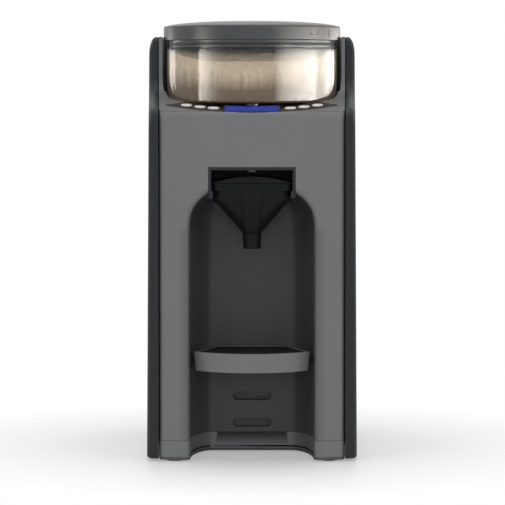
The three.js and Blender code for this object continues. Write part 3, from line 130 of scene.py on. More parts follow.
class Finish:  # the nodes of one material, lamp or world
    def __init__(self, name, owner=None):
        self.owner = owner or bpy.data.materials.new(name)
        self.owner.use_nodes = True
        self.tree = self.owner.node_tree
        self.tree.nodes.clear()

    def node(self, kind, settings=None, inputs=None, output=0):
        made = self.tree.nodes.new(kind)
        for key, value in (settings or {}).items():
            setattr(made, key, value)
        for key, value in (inputs or {}).items():
            if isinstance(value, Wire):
                self.tree.links.new(value.socket, made.inputs[key])
            else:
                made.inputs[key].default_value = value
        return Wire(self, made.outputs[output]) if made.outputs else made

    def where(self):
        return self.node("ShaderNodeTexCoord", output="Object")

    def facingUp(self):
        normal = self.node("ShaderNodeNewGeometry", output="Normal")
        return self.node("ShaderNodeSeparateXYZ", inputs={0: normal}, output=2)

    def rays(self, kind):
        return self.node("ShaderNodeLightPath", output=kind)

    def axes(self):
        split = self.node("ShaderNodeSeparateXYZ", inputs={0: self.where()}).socket.node
        return [Wire(self, split.outputs[k]) for k in range(3)]

    def noise(self, scale, detail=2, roughness=0.5, stretch=(1, 1, 1)):
        place = self.node("ShaderNodeVectorMath", {"operation": "MULTIPLY"}, {0: self.where(), 1: stretch})
        inputs = {"Vector": place, "Scale": scale, "Detail": detail, "Roughness": roughness}
        return self.node("ShaderNodeTexNoise", inputs=inputs)

    def mix(self, share, first, second):
        colours = [(*end, 1) if isinstance(end, tuple) else end for end in (first, second)]
        return self.node("ShaderNodeMix", {"data_type": "RGBA"}, {0: share, 6: colours[0], 7: colours[1]}, 2)

    def bump(self, height, depth, strength=1.0, normal=None):
        inputs = {"Height": height, "Distance": depth, "Strength": strength}
        if normal:
            inputs["Normal"] = normal
        return self.node("ShaderNodeBump", inputs=inputs)

    def edges(self, radius):  # 1 on sharp edges, 0 on flats
        soft = self.node("ShaderNodeBevel", {"samples": 4}, {"Radius": radius})
        flat = self.node("ShaderNodeNewGeometry", output="Normal")
        along = self.node("ShaderNodeVectorMath", {"operation": "DOT_PRODUCT"}, {0: soft, 1: flat}, "Value")
        return ((1 - along) * 4).clipped()

    def principled(self, **sockets):
        return self.node("ShaderNodeBsdfPrincipled", inputs={
            key: (*value, 1) if isinstance(value, tuple) and len(value) == 3 else value
            for key, value in sockets.items()
        })

    def blend(self, share, first, second):
        return self.node("ShaderNodeMixShader", inputs={0: share, 1: first, 2: second})

    def finished(self, shader, kind="Material"):
        self.node("ShaderNodeOutput" + kind, inputs={"Surface": shader})
        return self.owner


# Finishes

# Painted shade at the bay's mouth: the housing darkens over its fillet and lip into the bay, lighter below the
# seam, and along a strip of its front face beside the bay, below the arch
paintedBayShade = {  # metres, as all finishes are
    "colour": (0.082, 0.085, 0.088), "lowColour": (0.13, 0.133, 0.138), "start": 0.0004, "end": 0.0052,
    "crownRadius": 0.404, "halfWidth": 0.0625, "sideFade": 0.00003, "top": 0.2525, "topFade": 0.001,
    "seam": 0.0189, "edgeFrom": 0.0665, "edgeTo": 0.0605, "edgeShare": 0.6, "archFrom": 0.215, "archTo": 0.205,
}


def paintedBayShadeMask(finish):  # painted shade: 1 on the walls of the bay behind the crowned front face, 0 outside, with a weaker strip on the front face along the bay's sides; also gives the darker colour painted there
    across, back, up = finish.axes()
    square = across * across
    depth = back - faceY - square * (0.5 / paintedBayShade["crownRadius"])
    walls = depth.between(paintedBayShade["start"], paintedBayShade["end"])
    walls *= (paintedBayShade["halfWidth"] ** 2 - square).between(0, paintedBayShade["sideFade"])
    walls *= (paintedBayShade["top"] - up).between(0, paintedBayShade["topFade"])
    edge = (0 - square).between(-paintedBayShade["edgeFrom"] ** 2, -paintedBayShade["edgeTo"] ** 2) * paintedBayShade["edgeShare"]
    below = (0 - up).between(-paintedBayShade["archFrom"], -paintedBayShade["archTo"])
    shade = finish.mix((paintedBayShade["seam"] - up).above(0), paintedBayShade["colour"], paintedBayShade["lowColour"])
    return (walls + edge * below).clipped(), shade


plastic = {
    "grain": 2600, "cloud": 22, "edge": 0.0007, "wear": 0.35, "mottle": 0.5, "speck": 0.25, "rough": 0.42,
    "roughSpread": 0.08, "grainRough": 0.06, "depth": 0.00002, "ior": 1.46, "shine": 0.5, "twoTone": False,
}


def mouldedPlastic(name, colour, spread=0.12, **changes):  # a colour that varies a little, with pale worn edges
    finish, look = Finish(name), {**plastic, **changes}
    grain = finish.noise(look["grain"], 3, 0.6)
    cloud = finish.noise(look["cloud"], 2, 0.5)
    worn = finish.edges(look["edge"])
    dark, light = [tuple(share * part for part in colour) for share in (1 - spread, 1 + spread)]
    tone = worn * look["wear"] + (cloud - 0.5) * look["mottle"] + (grain - 0.5) * look["speck"]
    shade = finish.mix((tone + 0.5).clipped(), dark, light)
    # painted shade into the bay's mouth
    if look["twoTone"]:
        share, paintedWallShade = paintedBayShadeMask(finish)
        shade = finish.mix(share, shade, paintedWallShade)
    rough = look["rough"] + (cloud - 0.5) * look["roughSpread"] + (grain - 0.5) * look["grainRough"]
    return finish.finished(finish.principled(**{
        "Base Color": shade, "Roughness": rough.clipped(), "IOR": look["ior"],
        "Normal": finish.bump(grain, look["depth"]), "Specular IOR Level": look["shine"],
    }))


slate = (0.14, 0.143, 0.148)
funnelBlack = mouldedPlastic("funnelBlack", (0.007, 0.0075, 0.008), rough=0.4, shine=0.12)
plainSlate = mouldedPlastic("plainSlate", slate)
materials = {
    # the housing's slate, with painted shade darkening it into the bay
    "slate_housing": mouldedPlastic("satinSlate", slate, twoTone=True),
    # the liner's dark colour is partly the plastic's own darker tone and partly painted shade of the deep bay
    "charcoal_liner": mouldedPlastic("satinCharcoal", (0.052, 0.055, 0.058), rough=0.5, shine=0.4),
    "black_panel": mouldedPlastic("satinBlack", (0.02, 0.022, 0.024), rough=0.46, shine=0.22),
    "black_rubber": mouldedPlastic(
        "softRubber", (0.009, 0.009, 0.01), 0.25, rough=0.72, depth=0.00004, grain=1700, shine=0.2,
    ),
    "white_part": mouldedPlastic("whitePlastic", (0.8, 0.8, 0.78), 0.03, rough=0.3, wear=-0.4, depth=0.00001),
    "board_green": mouldedPlastic("boardGreen", (0.012, 0.09, 0.035), 0.3, cloud=260),
    "silicone": mouldedPlastic("milkySilicone", (0.6, 0.62, 0.6), 0.05, rough=0.55),
}


def pianoGloss():
    finish = Finish("pianoGloss")
    smear = finish.noise(35, 3, 0.55, (1, 2, 1))
    dust = finish.noise(5200, 1).above(0.735)
    shade = finish.mix(dust * 0.5, (0.0035, 0.0038, 0.0042), (0.12, 0.12, 0.12))
    normal = finish.bump(finish.noise(60, 1), 0.00001)
    return finish.finished(finish.principled(**{
        "Base Color": shade, "Roughness": 0.05 + smear * 0.09 + dust * 0.3, "IOR": 1.5, "Normal": normal,
    }))


def brushedSteel():
    finish = Finish("brushedSteel")
    lines = finish.noise(420, 3, 0.6, (1, 1, 14))
    return finish.finished(finish.principled(**{
        "Base Color": finish.mix(lines, (0.46, 0.46, 0.47), (0.62, 0.62, 0.63)),
        "Metallic": 1.0, "Roughness": 0.22 + lines * 0.2, "Normal": finish.bump(lines, 0.00001),
    }))


def clearPlastic():  # see-through walls that reflect more at a slant, with painted dark rims where the thick walls are seen edge-on, standing in for their refraction
    finish = Finish("clearPlastic")
    normal = finish.bump(finish.noise(26, 2, 0.5, (1, 1, 0.4)), 0.00006)
    slant = finish.node("ShaderNodeLayerWeight", inputs={"Blend": 0.5, "Normal": normal}, output="Facing")
    cloud = finish.noise(90, 3)
    through = finish.node("ShaderNodeBsdfTransparent", inputs={"Color": (0.97, 0.972, 0.972, 1)})
    shine = finish.principled(**{
        "Base Color": finish.mix(cloud, (0.86, 0.87, 0.88), (0.95, 0.95, 0.95)),
        "Metallic": 1.0, "Roughness": 0.03 + cloud * 0.05, "Normal": normal,
    })
    share = (slant ** 5 * 0.6 + 0.018 + (cloud - 0.5) * 0.003).clipped()
    upright = 1 - finish.facingUp().size().between(0.05, 0.3)
    # painted shade: an opaque dark rim on the upright walls seen edge-on, standing in for their refraction
    rim = finish.principled(**{"Base Color": (0.1, 0.092, 0.078), "Roughness": 0.3})
    walls = finish.blend(share, through, shine)
    return finish.finished(finish.blend(slant ** 16 * upright * 0.35, walls, rim))


def smokedPlastic():
    finish = Finish("smokedPlastic")
    cloud = finish.noise(18, 2)
    worn = finish.edges(0.0006)
    tone = (cloud * 0.5 + worn * 0.7).clipped()
    return finish.finished(finish.principled(**{
        "Base Color": finish.mix(tone, (0.045, 0.046, 0.048), (0.09, 0.092, 0.095)),
        "Roughness": 0.2 + cloud * 0.1, "IOR": 1.49, "Specular IOR Level": 0.3,
        "Normal": finish.bump(cloud, 0.00002),
    }))


def milkPowder():  # pressed smooth along the wall, crumbly on top; the upward faces far lighter than the upright ones, partly the loose powder's paler tone and partly painted light on the top
    finish = Finish("milkPowder")
    crumb = finish.noise(900, 5, 0.65)
    clump = finish.noise(150, 4, 0.6)
    # partly the loose powder's paler tone, partly painted light: faces turned up get the much lighter colour
    looseTopAndPaintedLight = finish.facingUp().between(0.15, 0.5)
    tone = (clump * 0.65 + crumb * 0.45 - 0.05).clipped()
    wall = finish.mix(tone, (0.16, 0.115, 0.07), (0.2, 0.15, 0.097))
    loose = finish.mix(tone, (0.36, 0.27, 0.18), (0.9, 0.75, 0.55))
    normal = finish.bump(crumb, 0.0004, 0.8, finish.bump(clump, 0.0009, 0.6))
    return finish.finished(finish.principled(**{
        "Base Color": finish.mix(looseTopAndPaintedLight, wall, loose), "Roughness": 0.86 + crumb * 0.12, "IOR": 1.3,
        "Normal": normal,
    }))


backlight = {"middle": 0.014, "halfDepth": 0.0115, "halfWidth": 0.0262, "endFade": 0.006}


def litDisplay():  # a backlight that is brightest along its middle, behind a gloss window
    finish = Finish("litDisplay")
    across, back, _ = finish.axes()
    slope = (back - faceY - backlight["middle"]) * (1 / backlight["halfDepth"])
    ends = (backlight["halfWidth"] - across.size()).between(0, backlight["endFade"])
    patches = finish.noise(75, 2, 0.5, (1, 0.25, 1)).between(0.45, 0.72)
    shade = finish.mix(patches * 0.6, (0.004, 0.03, 0.3), (0.07, 0.09, 0.52))
    return finish.finished(finish.principled(**{
        "Base Color": (0.004, 0.006, 0.02), "Roughness": 0.06 + finish.noise(40) * 0.06,
        "Emission Color": finish.mix((1 - slope * slope).clipped() * ends, (0.002, 0.003, 0.055), shade),
        "Specular IOR Level": 0.2, "Emission Strength": 1.0,
    }))


materials |= {
    "panel_gloss": pianoGloss(), "steel_part": brushedSteel(), "smoky_lid": smokedPlastic(),
    "clear_bowl": clearPlastic(), "milk_powder": milkPowder(), "display_blue": litDisplay(),
}
print("finishes made")


# Shapes, written in millimetres: x from the centre line, d behind the front face, z above the ground

shaping = {"samePoint": 1e-6, "sameAfterCuts": 4e-6, "flatAngle": 0.3, "softAngle": 32, "softSegments": 3}


def place(x, d, z):
    return Vector((x, 1000 * faceY + d, z)) / 1000


@contextmanager
def reshaping(mesh):  # a mesh opened for work, and closed again after it
    work = bmesh.new()
    work.from_mesh(mesh)
    yield work
    work.to_mesh(mesh)
    work.free()


def newPiece(name, points, faces):
    mesh = bpy.data.meshes.new(name)
    mesh.from_pydata([place(*point) for point in points], [], faces)
    with reshaping(mesh) as work:
        bmesh.ops.remove_doubles(work, verts=work.verts, dist=shaping["samePoint"])
        bmesh.ops.recalc_face_normals(work, faces=work.faces)
    return addObject(name, mesh)


def shares(steps, first=0):  # even steps from 0 to 1
    return [i / steps for i in range(first, steps + 1)]


def onArc(radius, turn, x=0, y=0):
    return x + radius * math.sin(turn), y - radius * math.cos(turn)


def loft(rings, fan=False):  # a closed skin through rings of [x, d, z] points
    count = len(rings[0])
    points = [point for ring in rings for point in ring]
    faces = []
    for i in range(len(rings) - 1):
        for j in range(count):
            a, b = i * count + j, i * count + (j + 1) % count
            faces.append((a, b, b + count, a + count))
    for end in (0, len(rings) - 1):
        ids = [end * count + j for j in range(count)]
        if fan:
            middle = [sum(point[k] for point in rings[end]) / count for k in range(3)]
            points.append(middle)
            faces += [(len(points) - 1, ids[j], ids[(j + 1) % count]) for j in range(count)]
        else:
            faces.append(tuple(ids))
    return newPiece("tool", points, faces)


def turned(profile, sides, d, ring=False):  # [radius, z] pairs about an upright axis; z may vary in plan
    points, faces, rows = [], [], []
    for radius, z in profile:
        count = 1 if radius == 0 else sides
        rows.append(list(range(len(points), len(points) + count)))
        for j in range(count):
            x, out = onArc(radius, 2 * math.pi * j / sides)
            points.append((x, d + out, z(x, out) if callable(z) else z))
    for low, high in list(zip(rows, rows[1:])) + ([(rows[-1], rows[0])] if ring else []):
        for j in range(sides):
            k = (j + 1) % sides
            corners = [low[j % len(low)], low[k % len(low)], high[k % len(high)], high[j % len(high)]]
            faces.append(tuple(dict.fromkeys(corners)))
    return newPiece("tool", points, [face for face in faces if len(face) > 2])


def block(xs, ds, zs):
    return loft([[(xs[0], ds[0], z), (xs[1], ds[0], z), (xs[1], ds[1], z), (xs[0], ds[1], z)] for z in zs])


def rod(radius, zs, d, sides=96):
    return turned([(0, zs[0]), (radius, zs[0]), (radius, zs[1]), (0, zs[1])], sides, d)


def extruded(outline, along, ends):  # an outline over two axes, drawn out along the third
    at = "xdz".index(along)
    return loft([[(*point[:at], end, *point[at:2]) for point in outline] for end in ends])


def bend(start, towards, end, steps):
    points = []
    for share in shares(steps):
        weights = ((1 - share) ** 2, 2 * (1 - share) * share, share ** 2)
        pairs = list(zip(weights, (start, towards, end)))
        points.append([sum(weight * point[k] for weight, point in pairs) for k in (0, 1)])
    return points


def roundedRing(halfX, halfD, corner, d, z, steps=8):
    radius = min(corner, halfX - 0.001, halfD - 0.001)
    points = []
    for signX, signD, start in ((1, 1, 0), (-1, 1, 1), (-1, -1, 2), (1, -1, 3)):
        for share in shares(steps):
            angle = (start + share) * quarter
            x = signX * (halfX - radius) + radius * math.cos(angle)
            points.append((x, d + signD * (halfD - radius) + radius * math.sin(angle), z))
    return points


def roundedBox(halfX, halfD, corner, d, zs, steps=8):
    return loft([roundedRing(halfX, halfD, corner, d, z, steps) for z in zs])


def bowEdge(steps=5):  # shares of in and down round a soft top edge
    return [(1 - math.cos(share * quarter), math.sin(share * quarter)) for share in shares(steps)]


def arcRow(radius, start, end, steps):  # points round the hopper's axis, in plan
    turns = [start + (end - start) * i / steps for i in range(steps + 1)]
    return [onArc(radius, turn, 0, hopper["d"]) for turn in turns]


def sector(inner, outer, halfAngle, steps, innerAngle=None):  # an outline between two arcs
    innerAngle = innerAngle or halfAngle
    return arcRow(outer, -halfAngle, halfAngle, steps) + arcRow(inner, innerAngle, -innerAngle, steps)


def carve(piece, operation, tools):
    for tool in tools:
        step = piece.modifiers.new("carve", "BOOLEAN")
        step.operation, step.solver, step.object = operation, "MANIFOLD", tool
    shaped = bpy.data.meshes.new_from_object(piece.evaluated_get(bpy.context.evaluated_depsgraph_get()))
    piece.modifiers.clear()
    piece.data = shaped
    for tool in tools:
        bpy.data.objects.remove(tool)
    return piece


def cut(piece, *tools):
    return carve(piece, "DIFFERENCE", tools)


def join(piece, *tools):
    return carve(piece, "UNION", tools)


def shadeSmooth(mesh):
    for face in mesh.polygons:
        face.use_smooth = True


def roundEdges(piece, width, segments, angle, miter="MITER_SHARP"):
    if width:
        bevel = piece.modifiers.new("edges", "BEVEL")
        bevel.width, bevel.segments, bevel.miter_outer = width, segments, miter
        bevel.limit_method, bevel.angle_limit = "ANGLE", math.radians(angle)
    piece.modifiers.new("normals", "WEIGHTED_NORMAL").keep_sharp = True


def soften(piece, width, angle):  # cleans up after the cuts, then rounds the sharp edges
    flat = math.radians(shaping["flatAngle"])
    with reshaping(piece.data) as work:
        bmesh.ops.remove_doubles(work, verts=work.verts, dist=shaping["sameAfterCuts"])
        bmesh.ops.dissolve_limit(work, angle_limit=flat, verts=work.verts, edges=work.edges)
    shadeSmooth(piece.data)
    roundEdges(piece, width / 1000, shaping["softSegments"], angle, "MITER_ARC")


def dress(piece, finish):
    piece.data.materials.clear()
    piece.data.materials.append(finish)


def standFor(piece, node, soft=0, angle=shaping["softAngle"], finish=None):  # in place of the CAD's solid
    if soft:
        soften(piece, soft, angle)
    else:
        shadeSmooth(piece.data)
    piece.name = piece.data.name = node.title().replace("_", "") + "Form"
    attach(piece, bodyOf[node])
    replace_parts(piece, node)
    dress(piece, finish or materials[slotOf[node]])


# The housing: one level outline, the bay that is cut into it and the tilted ledge on top

housing = {
    "halfWidth": 83.3, "spread": 3.7, "spreadDepth": 115, "crownRadius": 404, "corner": 5, "wall": 2.6,
    "low": 19.05, "top": 384.7, "split": 192, "rear": 262, "rollIn": 1.8, "rollDown": 5.2, "sweepStart": 60,
    "sweepBend": 100, "sweepRise": 3, "sweepEnd": 97, "uprightBend": 30, "soft": 0.7,
    "cornerSteps": 8, "faceSteps": 32, "sweepSteps": 20,
}
rearHalf = housing["halfWidth"] + housing["spread"]
spreadSlope = housing["spread"] / housing["spreadDepth"]
ledgeShape = {
    "height": 315.2, "tilt": 0.176, "inside": 311.2, "seatLow": 315, "boreLow": 314.7, "boardDrop": 12,
}
bay = {
    "halfWidth": 56, "backHalfWidth": 35.5, "top": 245.5, "roofDrop": 12, "depth": 78, "fillet": 6, "lip": 12,
    "wall": 2.2, "archShare": 0.55, "soft": 0.5, "filletSteps": 7, "troughSteps": 16, "archSteps": 12,
    "stepApart": 0.6,
}
hopper = {
    "d": 108, "radius": 81.3, "wall": 2.4, "bottom": 320.9, "top": 380.9, "edge": 5, "bore": 82.3,
    "seatWidth": 6.2, "hubHole": 14, "outletHole": 9.5, "outletIn": 46, "lidRoom": 83.7, "soft": (0.4, 50),
    "sides": 144, "edgeSteps": 10,
}
slotBox = {
    "halfWidth": 39, "bottom": 238.5, "top": 265.9, "depth": 84, "wall": 2.4, "railTop": 244.4,
    "railWidth": 1.6, "chute": (40, 9.7), "nozzle": (66, 4.3), "pathDrop": 12.5, "pathDepth": 76.3, "soft": 0.4,
}
panel = {
    "outer": 106.5, "halfAngle": 0.83, "thickness": 1.6, "rise": 0.3, "windowHalfWidth": 25.3,
    "windowInner": 84.7, "windowOuter": 105.3, "windowTilt": 0.06, "steps": 40, "soft": 0.25, "windowSoft": 0.2,
}
button = {
    "radius": 94.4, "angles": (0.377, 0.521, 0.681), "halfWidth": 5.4, "halfDepth": 4.2, "rise": 0.8,
    "skirt": 6, "rim": 0.55, "rimSteps": 6, "crown": 0.15, "crownShares": (0.7, 0.4, 0.12), "sides": 56,
}
buttonAngles = [sign * angle for sign in (-1, 1) for angle in button["angles"]]


def ledge(d):
    return ledgeShape["height"] + ledgeShape["tilt"] * d


def crown(x, inset=0):
    return housing["crownRadius"] - math.sqrt((housing["crownRadius"] - inset) ** 2 - x * x)


def planRing(inset, sideInset, rear, z):
    half = housing["halfWidth"] - sideInset
    flat, wide = half - housing["corner"], rearHalf - sideInset
    turn = crown(half, inset) + housing["corner"]

    def corner(sign):
        return bend(
            (sign * (half + spreadSlope * turn), turn), (sign * half, crown(half, inset)),
            (sign * flat, crown(flat, inset)), housing["cornerSteps"],
        )
    count = housing["faceSteps"]
    xs = [flat * (2 * i / count - 1) for i in range(1, count)]
    left, right = [[(sign * wide, rear), (sign * wide, housing["spreadDepth"])] for sign in (-1, 1)]
    faceRow = [(x, crown(x, inset)) for x in xs]
    outline = [*left, *corner(-1), *faceRow, *reversed(corner(1)), *reversed(right)]
    return [(x, d, z) for x, d in outline]


def planBlock(inset, sideInset, rear, zs):
    return loft([planRing(inset, sideInset, rear, z) for z in zs])


def bayRing(d, halfWidth, top, low, crownShare):
    radius = bay["archShare"] * halfWidth
    outline = [(-halfWidth, low)]
    for sign, start in ((-1, 0), (1, 1)):
        for share in shares(bay["archSteps"]):
            angle = (start - sign * share) * quarter
            x = sign * (halfWidth - radius + radius * math.cos(angle))
            outline.append((x, top - radius + radius * math.sin(angle)))
    outline.append((halfWidth, low))
    return [(x, d + crownShare * crown(x), z) for x, z in outline]


def troughRing(d, grow, low):
    share = min(1, (d - bay["fillet"]) / (bay["depth"] - bay["fillet"] + grow))
    cosine = math.sqrt(1 - share * share)
    halfWidth = bay["backHalfWidth"] + (bay["halfWidth"] - bay["backHalfWidth"] + grow) * cosine
    top = bay["top"] - bay["roofDrop"] + (bay["roofDrop"] + grow) * cosine
    return bayRing(d, halfWidth, top, low, 1 - share)


def filletRings(grow, low):
    radius = bay["fillet"] - grow
    rings = []
    for share in shares(bay["filletSteps"])[:-1]:
        out, d = [bay["fillet"] - radius * part(share * quarter) for part in (math.sin, math.cos)]
        rings.append(bayRing(d, bay["halfWidth"] + out, bay["top"] + out, low, 1))
    return rings


def troughRings(start, grow, low):
    reach = bay["depth"] - bay["fillet"] + grow
    ds = [bay["fillet"] + reach * math.sin(share * quarter) for share in shares(bay["troughSteps"], 1)]
    ds = [start, *[d for d in ds if d > start + bay["stepApart"]]]
    return [troughRing(d, grow, low) for d in ds]


def cavity():
    mouth = bayRing(-over, bay["halfWidth"] + bay["fillet"], bay["top"] + bay["fillet"], -over, 0)
    return loft([mouth, *filletRings(0, -over), *troughRings(bay["fillet"], 0, -over)], fan=True)


def slotOpening():
    half, zs = slotBox["halfWidth"] + gap, (slotBox["bottom"] - gap, slotBox["top"] + gap)
    return block((-half, half), (-over, slotBox["depth"] + gap), zs)


def overLedge(outline, low, high, tilt=0):  # an outline in plan, between two heights over the ledge
    ends = ((low, 0), (high, tilt))
    return loft([[(x, d, ledge(d) + lift + more * d) for x, d in outline] for lift, more in ends])


def ledgeCut():
    start = (housing["sweepStart"], ledge(housing["sweepStart"]))
    towards = (housing["sweepBend"], start[1] + housing["sweepRise"])
    end = (housing["sweepEnd"], start[1] + housing["uprightBend"])
    top, half = housing["top"] + over, rearHalf + over
    outline = [
        (-over, ledge(-over)), *bend(start, towards, end, housing["sweepSteps"]),
        (housing["sweepEnd"], top), (-over, top),
    ]
    return extruded(outline, "x", (-half, half))


def onLedge(angle):  # where a button sits, and how it leans
    x, d = onArc(button["radius"], angle, 0, hopper["d"])
    lean = Matrix.Rotation(math.atan(ledgeShape["tilt"]), 3, "X") @ Matrix.Rotation(angle, 3, "Z")
    return lean, Vector((x, d, ledge(d) + panel["rise"]))


def ovalRing(angle, inset, height, share=1):
    lean, centre = onLedge(angle)
    halves = [share * (button[key] - inset) for key in ("halfWidth", "halfDepth")]
    turns = [2 * math.pi * i / button["sides"] for i in range(button["sides"])]
    spots = [Vector((halves[0] * math.cos(turn), halves[1] * math.sin(turn), height)) for turn in turns]
    return [tuple(lean @ spot + centre) for spot in spots]


def buttonHole(angle):
    return loft([ovalRing(angle, -gap, height) for height in (-ledgeShape["boardDrop"], over)])


def rollRing(inward, rise):
    z = ledgeShape["height"] - housing["rollDown"] * (1 - rise)
    return planRing(housing["rollIn"] * inward, 0, housing["split"], z)


def frontHousing():
    low, top, split, wall = [housing[key] for key in ("low", "top", "split", "wall")]
    middle, bore, room = hopper["d"], hopper["bore"], hopper["lidRoom"]
    deck = ledge(middle)
    rings = [planRing(0, 0, split, low), *[rollRing(*share) for share in bowEdge()]]
    front = loft([*rings, planRing(housing["rollIn"], 0, split, top)])
    front = cut(front, planBlock(wall, wall, split + over, (low - over, ledgeShape["inside"])), ledgeCut())
    lip = loft([*filletRings(bay["wall"], low), troughRing(bay["lip"], bay["wall"], low)], fan=True)
    recessAngle = panel["halfAngle"] + gap / panel["outer"]
    recess = sector(bore - over, panel["outer"] + gap, recessAngle, panel["steps"])
    return cut(
        join(front, lip), cavity(), slotOpening(),
        rod(bore, (ledgeShape["boreLow"], deck + over), middle, hopper["sides"]),
        rod(bore - hopper["seatWidth"], (ledgeShape["inside"] - over, ledgeShape["seatLow"]), middle),
        rod(room, (deck, top + over), middle, hopper["sides"]),
        block((-room, room), (middle, split + over), (deck, top + over)),
        overLedge(recess, panel["rise"] - panel["thickness"] - gap, panel["rise"] + over),
        *[buttonHole(angle) for angle in buttonAngles],
    )


standFor(frontHousing(), "front_housing", housing["soft"])
print("front housing made")

# The liner of the bay, with the slots that the shelf hangs in

shelfSlot = {
    "halfWidth": 17.9, "height": 8.2, "lowest": 23.5, "pitch": 24.8, "count": 3, "pocket": 8,
    "pocketFrom": 1.1, "wall": 2, "corner": 4,
}
liner = loft(troughRings(bay["lip"] + gap, bay["wall"], housing["low"]), fan=True)
pockets, holes = [], []
for i in range(shelfSlot["count"]):
    low = shelfSlot["lowest"] + i * shelfSlot["pitch"]
    high, skin, half = low + shelfSlot["height"], shelfSlot["wall"], shelfSlot["halfWidth"]
    back = bay["depth"] + shelfSlot["pocket"]
    ends = (bay["depth"] + shelfSlot["pocketFrom"], back + skin)
    pockets.append(block((-half - skin, half + skin), ends, (low - skin, high + skin)))
    outline = roundedRing(half, shelfSlot["height"] / 2, shelfSlot["corner"], (low + high) / 2, 0)
    holes.append(extruded(outline, "d", (bay["depth"] - over, back)))
pathHalf = slotBox["halfWidth"] - slotBox["wall"] - slotBox["railWidth"] + gap
pathZs = (slotBox["bottom"] - slotBox["pathDrop"], slotBox["top"])
path = block((-pathHalf, pathHalf), (-over, slotBox["pathDepth"]), pathZs)
liner = cut(join(liner, *pockets), cavity(), slotOpening(), path, *holes)
standFor(liner, "bay_liner", bay["soft"])

# The base: a plinth with a seam over it, and the bottom cover

base = {
    "low": 3.7, "seam": 18.75, "floor": 2.6, "coverLow": 1.5, "coverHigh": 3.4, "coverLip": 0.6,
    "sideOut": 0.45, "soft": 0.4,
}
wall, rear = housing["wall"], housing["rear"]
plinth = planBlock(0, -base["sideOut"], rear, (base["low"], base["seam"]))
hollow = planBlock(wall, wall, rear - wall, (base["low"] + base["floor"], base["seam"] + over))
bayWall = loft([*filletRings(bay["wall"], -over), *troughRings(bay["fillet"], bay["wall"], -over)], fan=True)
standFor(cut(plinth, cut(hollow, bayWall), cavity()), "base_plinth", base["soft"])
bottom = planBlock(-base["coverLip"], 0, rear, (base["coverLow"], base["coverHigh"]))
dullCharcoal = mouldedPlastic("dullCharcoal", (0.07, 0.072, 0.076), rough=0.55)
standFor(cut(bottom, cavity()), "bottom_cover", base["soft"], finish=dullCharcoal)
print("bay and base made")

# Side panels, lofted outwards from the housing with a soft shoulder

side = {
    "thickness": 8.3, "flare": 0.3, "front": 7.5, "bottom": 2.5, "shoulderIn": 6.4, "shoulderDown": 15.6,
    "bottomEdge": 3, "lip": 1.6, "frontCorner": 14, "topCorner": 9, "rearCorner": 16, "wall": 3,
    "frontShare": 0.5, "soft": (0.5, 40), "steps": 10, "shoulderSteps": 14,
}


def sideRing(sign, reach, inset, skin):
    back = side["frontShare"] * inset + skin
    front, rear = side["front"] + back, housing["rear"] - back
    top = housing["top"] - inset - skin
    low = side["bottom"] + side["bottomEdge"] * (inset / side["shoulderDown"]) ** 2 + skin
    upright = housing["sweepEnd"] + back

    def edge(d):
        return ledge(d) + side["lip"] - back
    sweep = (housing["sweepStart"], edge(housing["sweepStart"]))
    corner, shoulder, turn, steps = side["frontCorner"], side["topCorner"], side["rearCorner"], side["steps"]
    bends = (
        ((front, edge(front) - corner), (front, edge(front)), (front + corner, edge(front + corner))),
        (sweep, (housing["sweepBend"] + back, sweep[1] + housing["sweepRise"]),
         (upright, sweep[1] + housing["uprightBend"])),
        ((upright, top - shoulder), (upright, top), (upright + shoulder, top)),
        ((rear - turn, top), (rear, top), (rear, top - turn)),
    )
    outline = [(front, low), *[point for ends in bends for point in bend(*ends, steps)], (rear, low)]
    flares = [1 + side["flare"] * (1 - z / housing["top"]) for _, z in outline]
    return [(sign * (rearHalf + 2 * gap + reach * flare), d, z) for (d, z), flare in zip(outline, flares)]


def sideSkin(sign, skin, start):
    straight = side["thickness"] - side["shoulderIn"]
    rings = [sideRing(sign, start, 0, skin)]
    for share in shares(side["shoulderSteps"]):
        angle = share * quarter
        reach = (straight + side["shoulderIn"] * math.sin(angle)) * (side["thickness"] - skin)
        inset = side["shoulderDown"] * (1 - math.cos(angle))
        rings.append(sideRing(sign, reach / side["thickness"], inset, skin))
    return loft(rings)


def leanIn(piece, sign):  # the front part of a side panel follows the housing's side inwards
    bendAt = place(0, housing["spreadDepth"], 0)
    with reshaping(piece.data) as work:
        everything = [*work.verts, *work.edges, *work.faces]
        bmesh.ops.bisect_plane(work, geom=everything, plane_co=bendAt, plane_no=(0, 1, 0))
        for vert in work.verts:
            vert.co.x += sign * spreadSlope * min(0, vert.co.y - bendAt.y)
    return piece


for sign, node in ((-1, "left_side_panel"), (1, "right_side_panel")):
    skin = cut(sideSkin(sign, 0, 0), sideSkin(sign, side["wall"], -over))
    standFor(leanIn(skin, sign), node, *side["soft"])
print("side panels made")


# The hopper: clear bowl, powder, lid

def lowerEdge(centre, z, radius):
    return [onArc(radius, share * quarter, centre, z) for share in shares(hopper["edgeSteps"])]


edgeAt = (hopper["radius"] - hopper["edge"], hopper["bottom"] + hopper["edge"])
insideEdge, insideRadius = hopper["edge"] - hopper["wall"], hopper["radius"] - hopper["wall"]
bowl = turned([
    (hopper["hubHole"], hopper["bottom"]), *lowerEdge(*edgeAt, hopper["edge"]),
    (hopper["radius"], hopper["top"]), (insideRadius, hopper["top"]),
    *reversed(lowerEdge(*edgeAt, insideEdge)), (hopper["hubHole"], hopper["bottom"] + hopper["wall"]),
], hopper["sides"], hopper["d"], ring=True)
outletZs = (hopper["bottom"] - over, hopper["bottom"] + hopper["edge"])
bowl = cut(bowl, rod(hopper["outletHole"], outletZs, hopper["d"] - hopper["outletIn"]))
standFor(bowl, "hopper_bowl", *hopper["soft"])

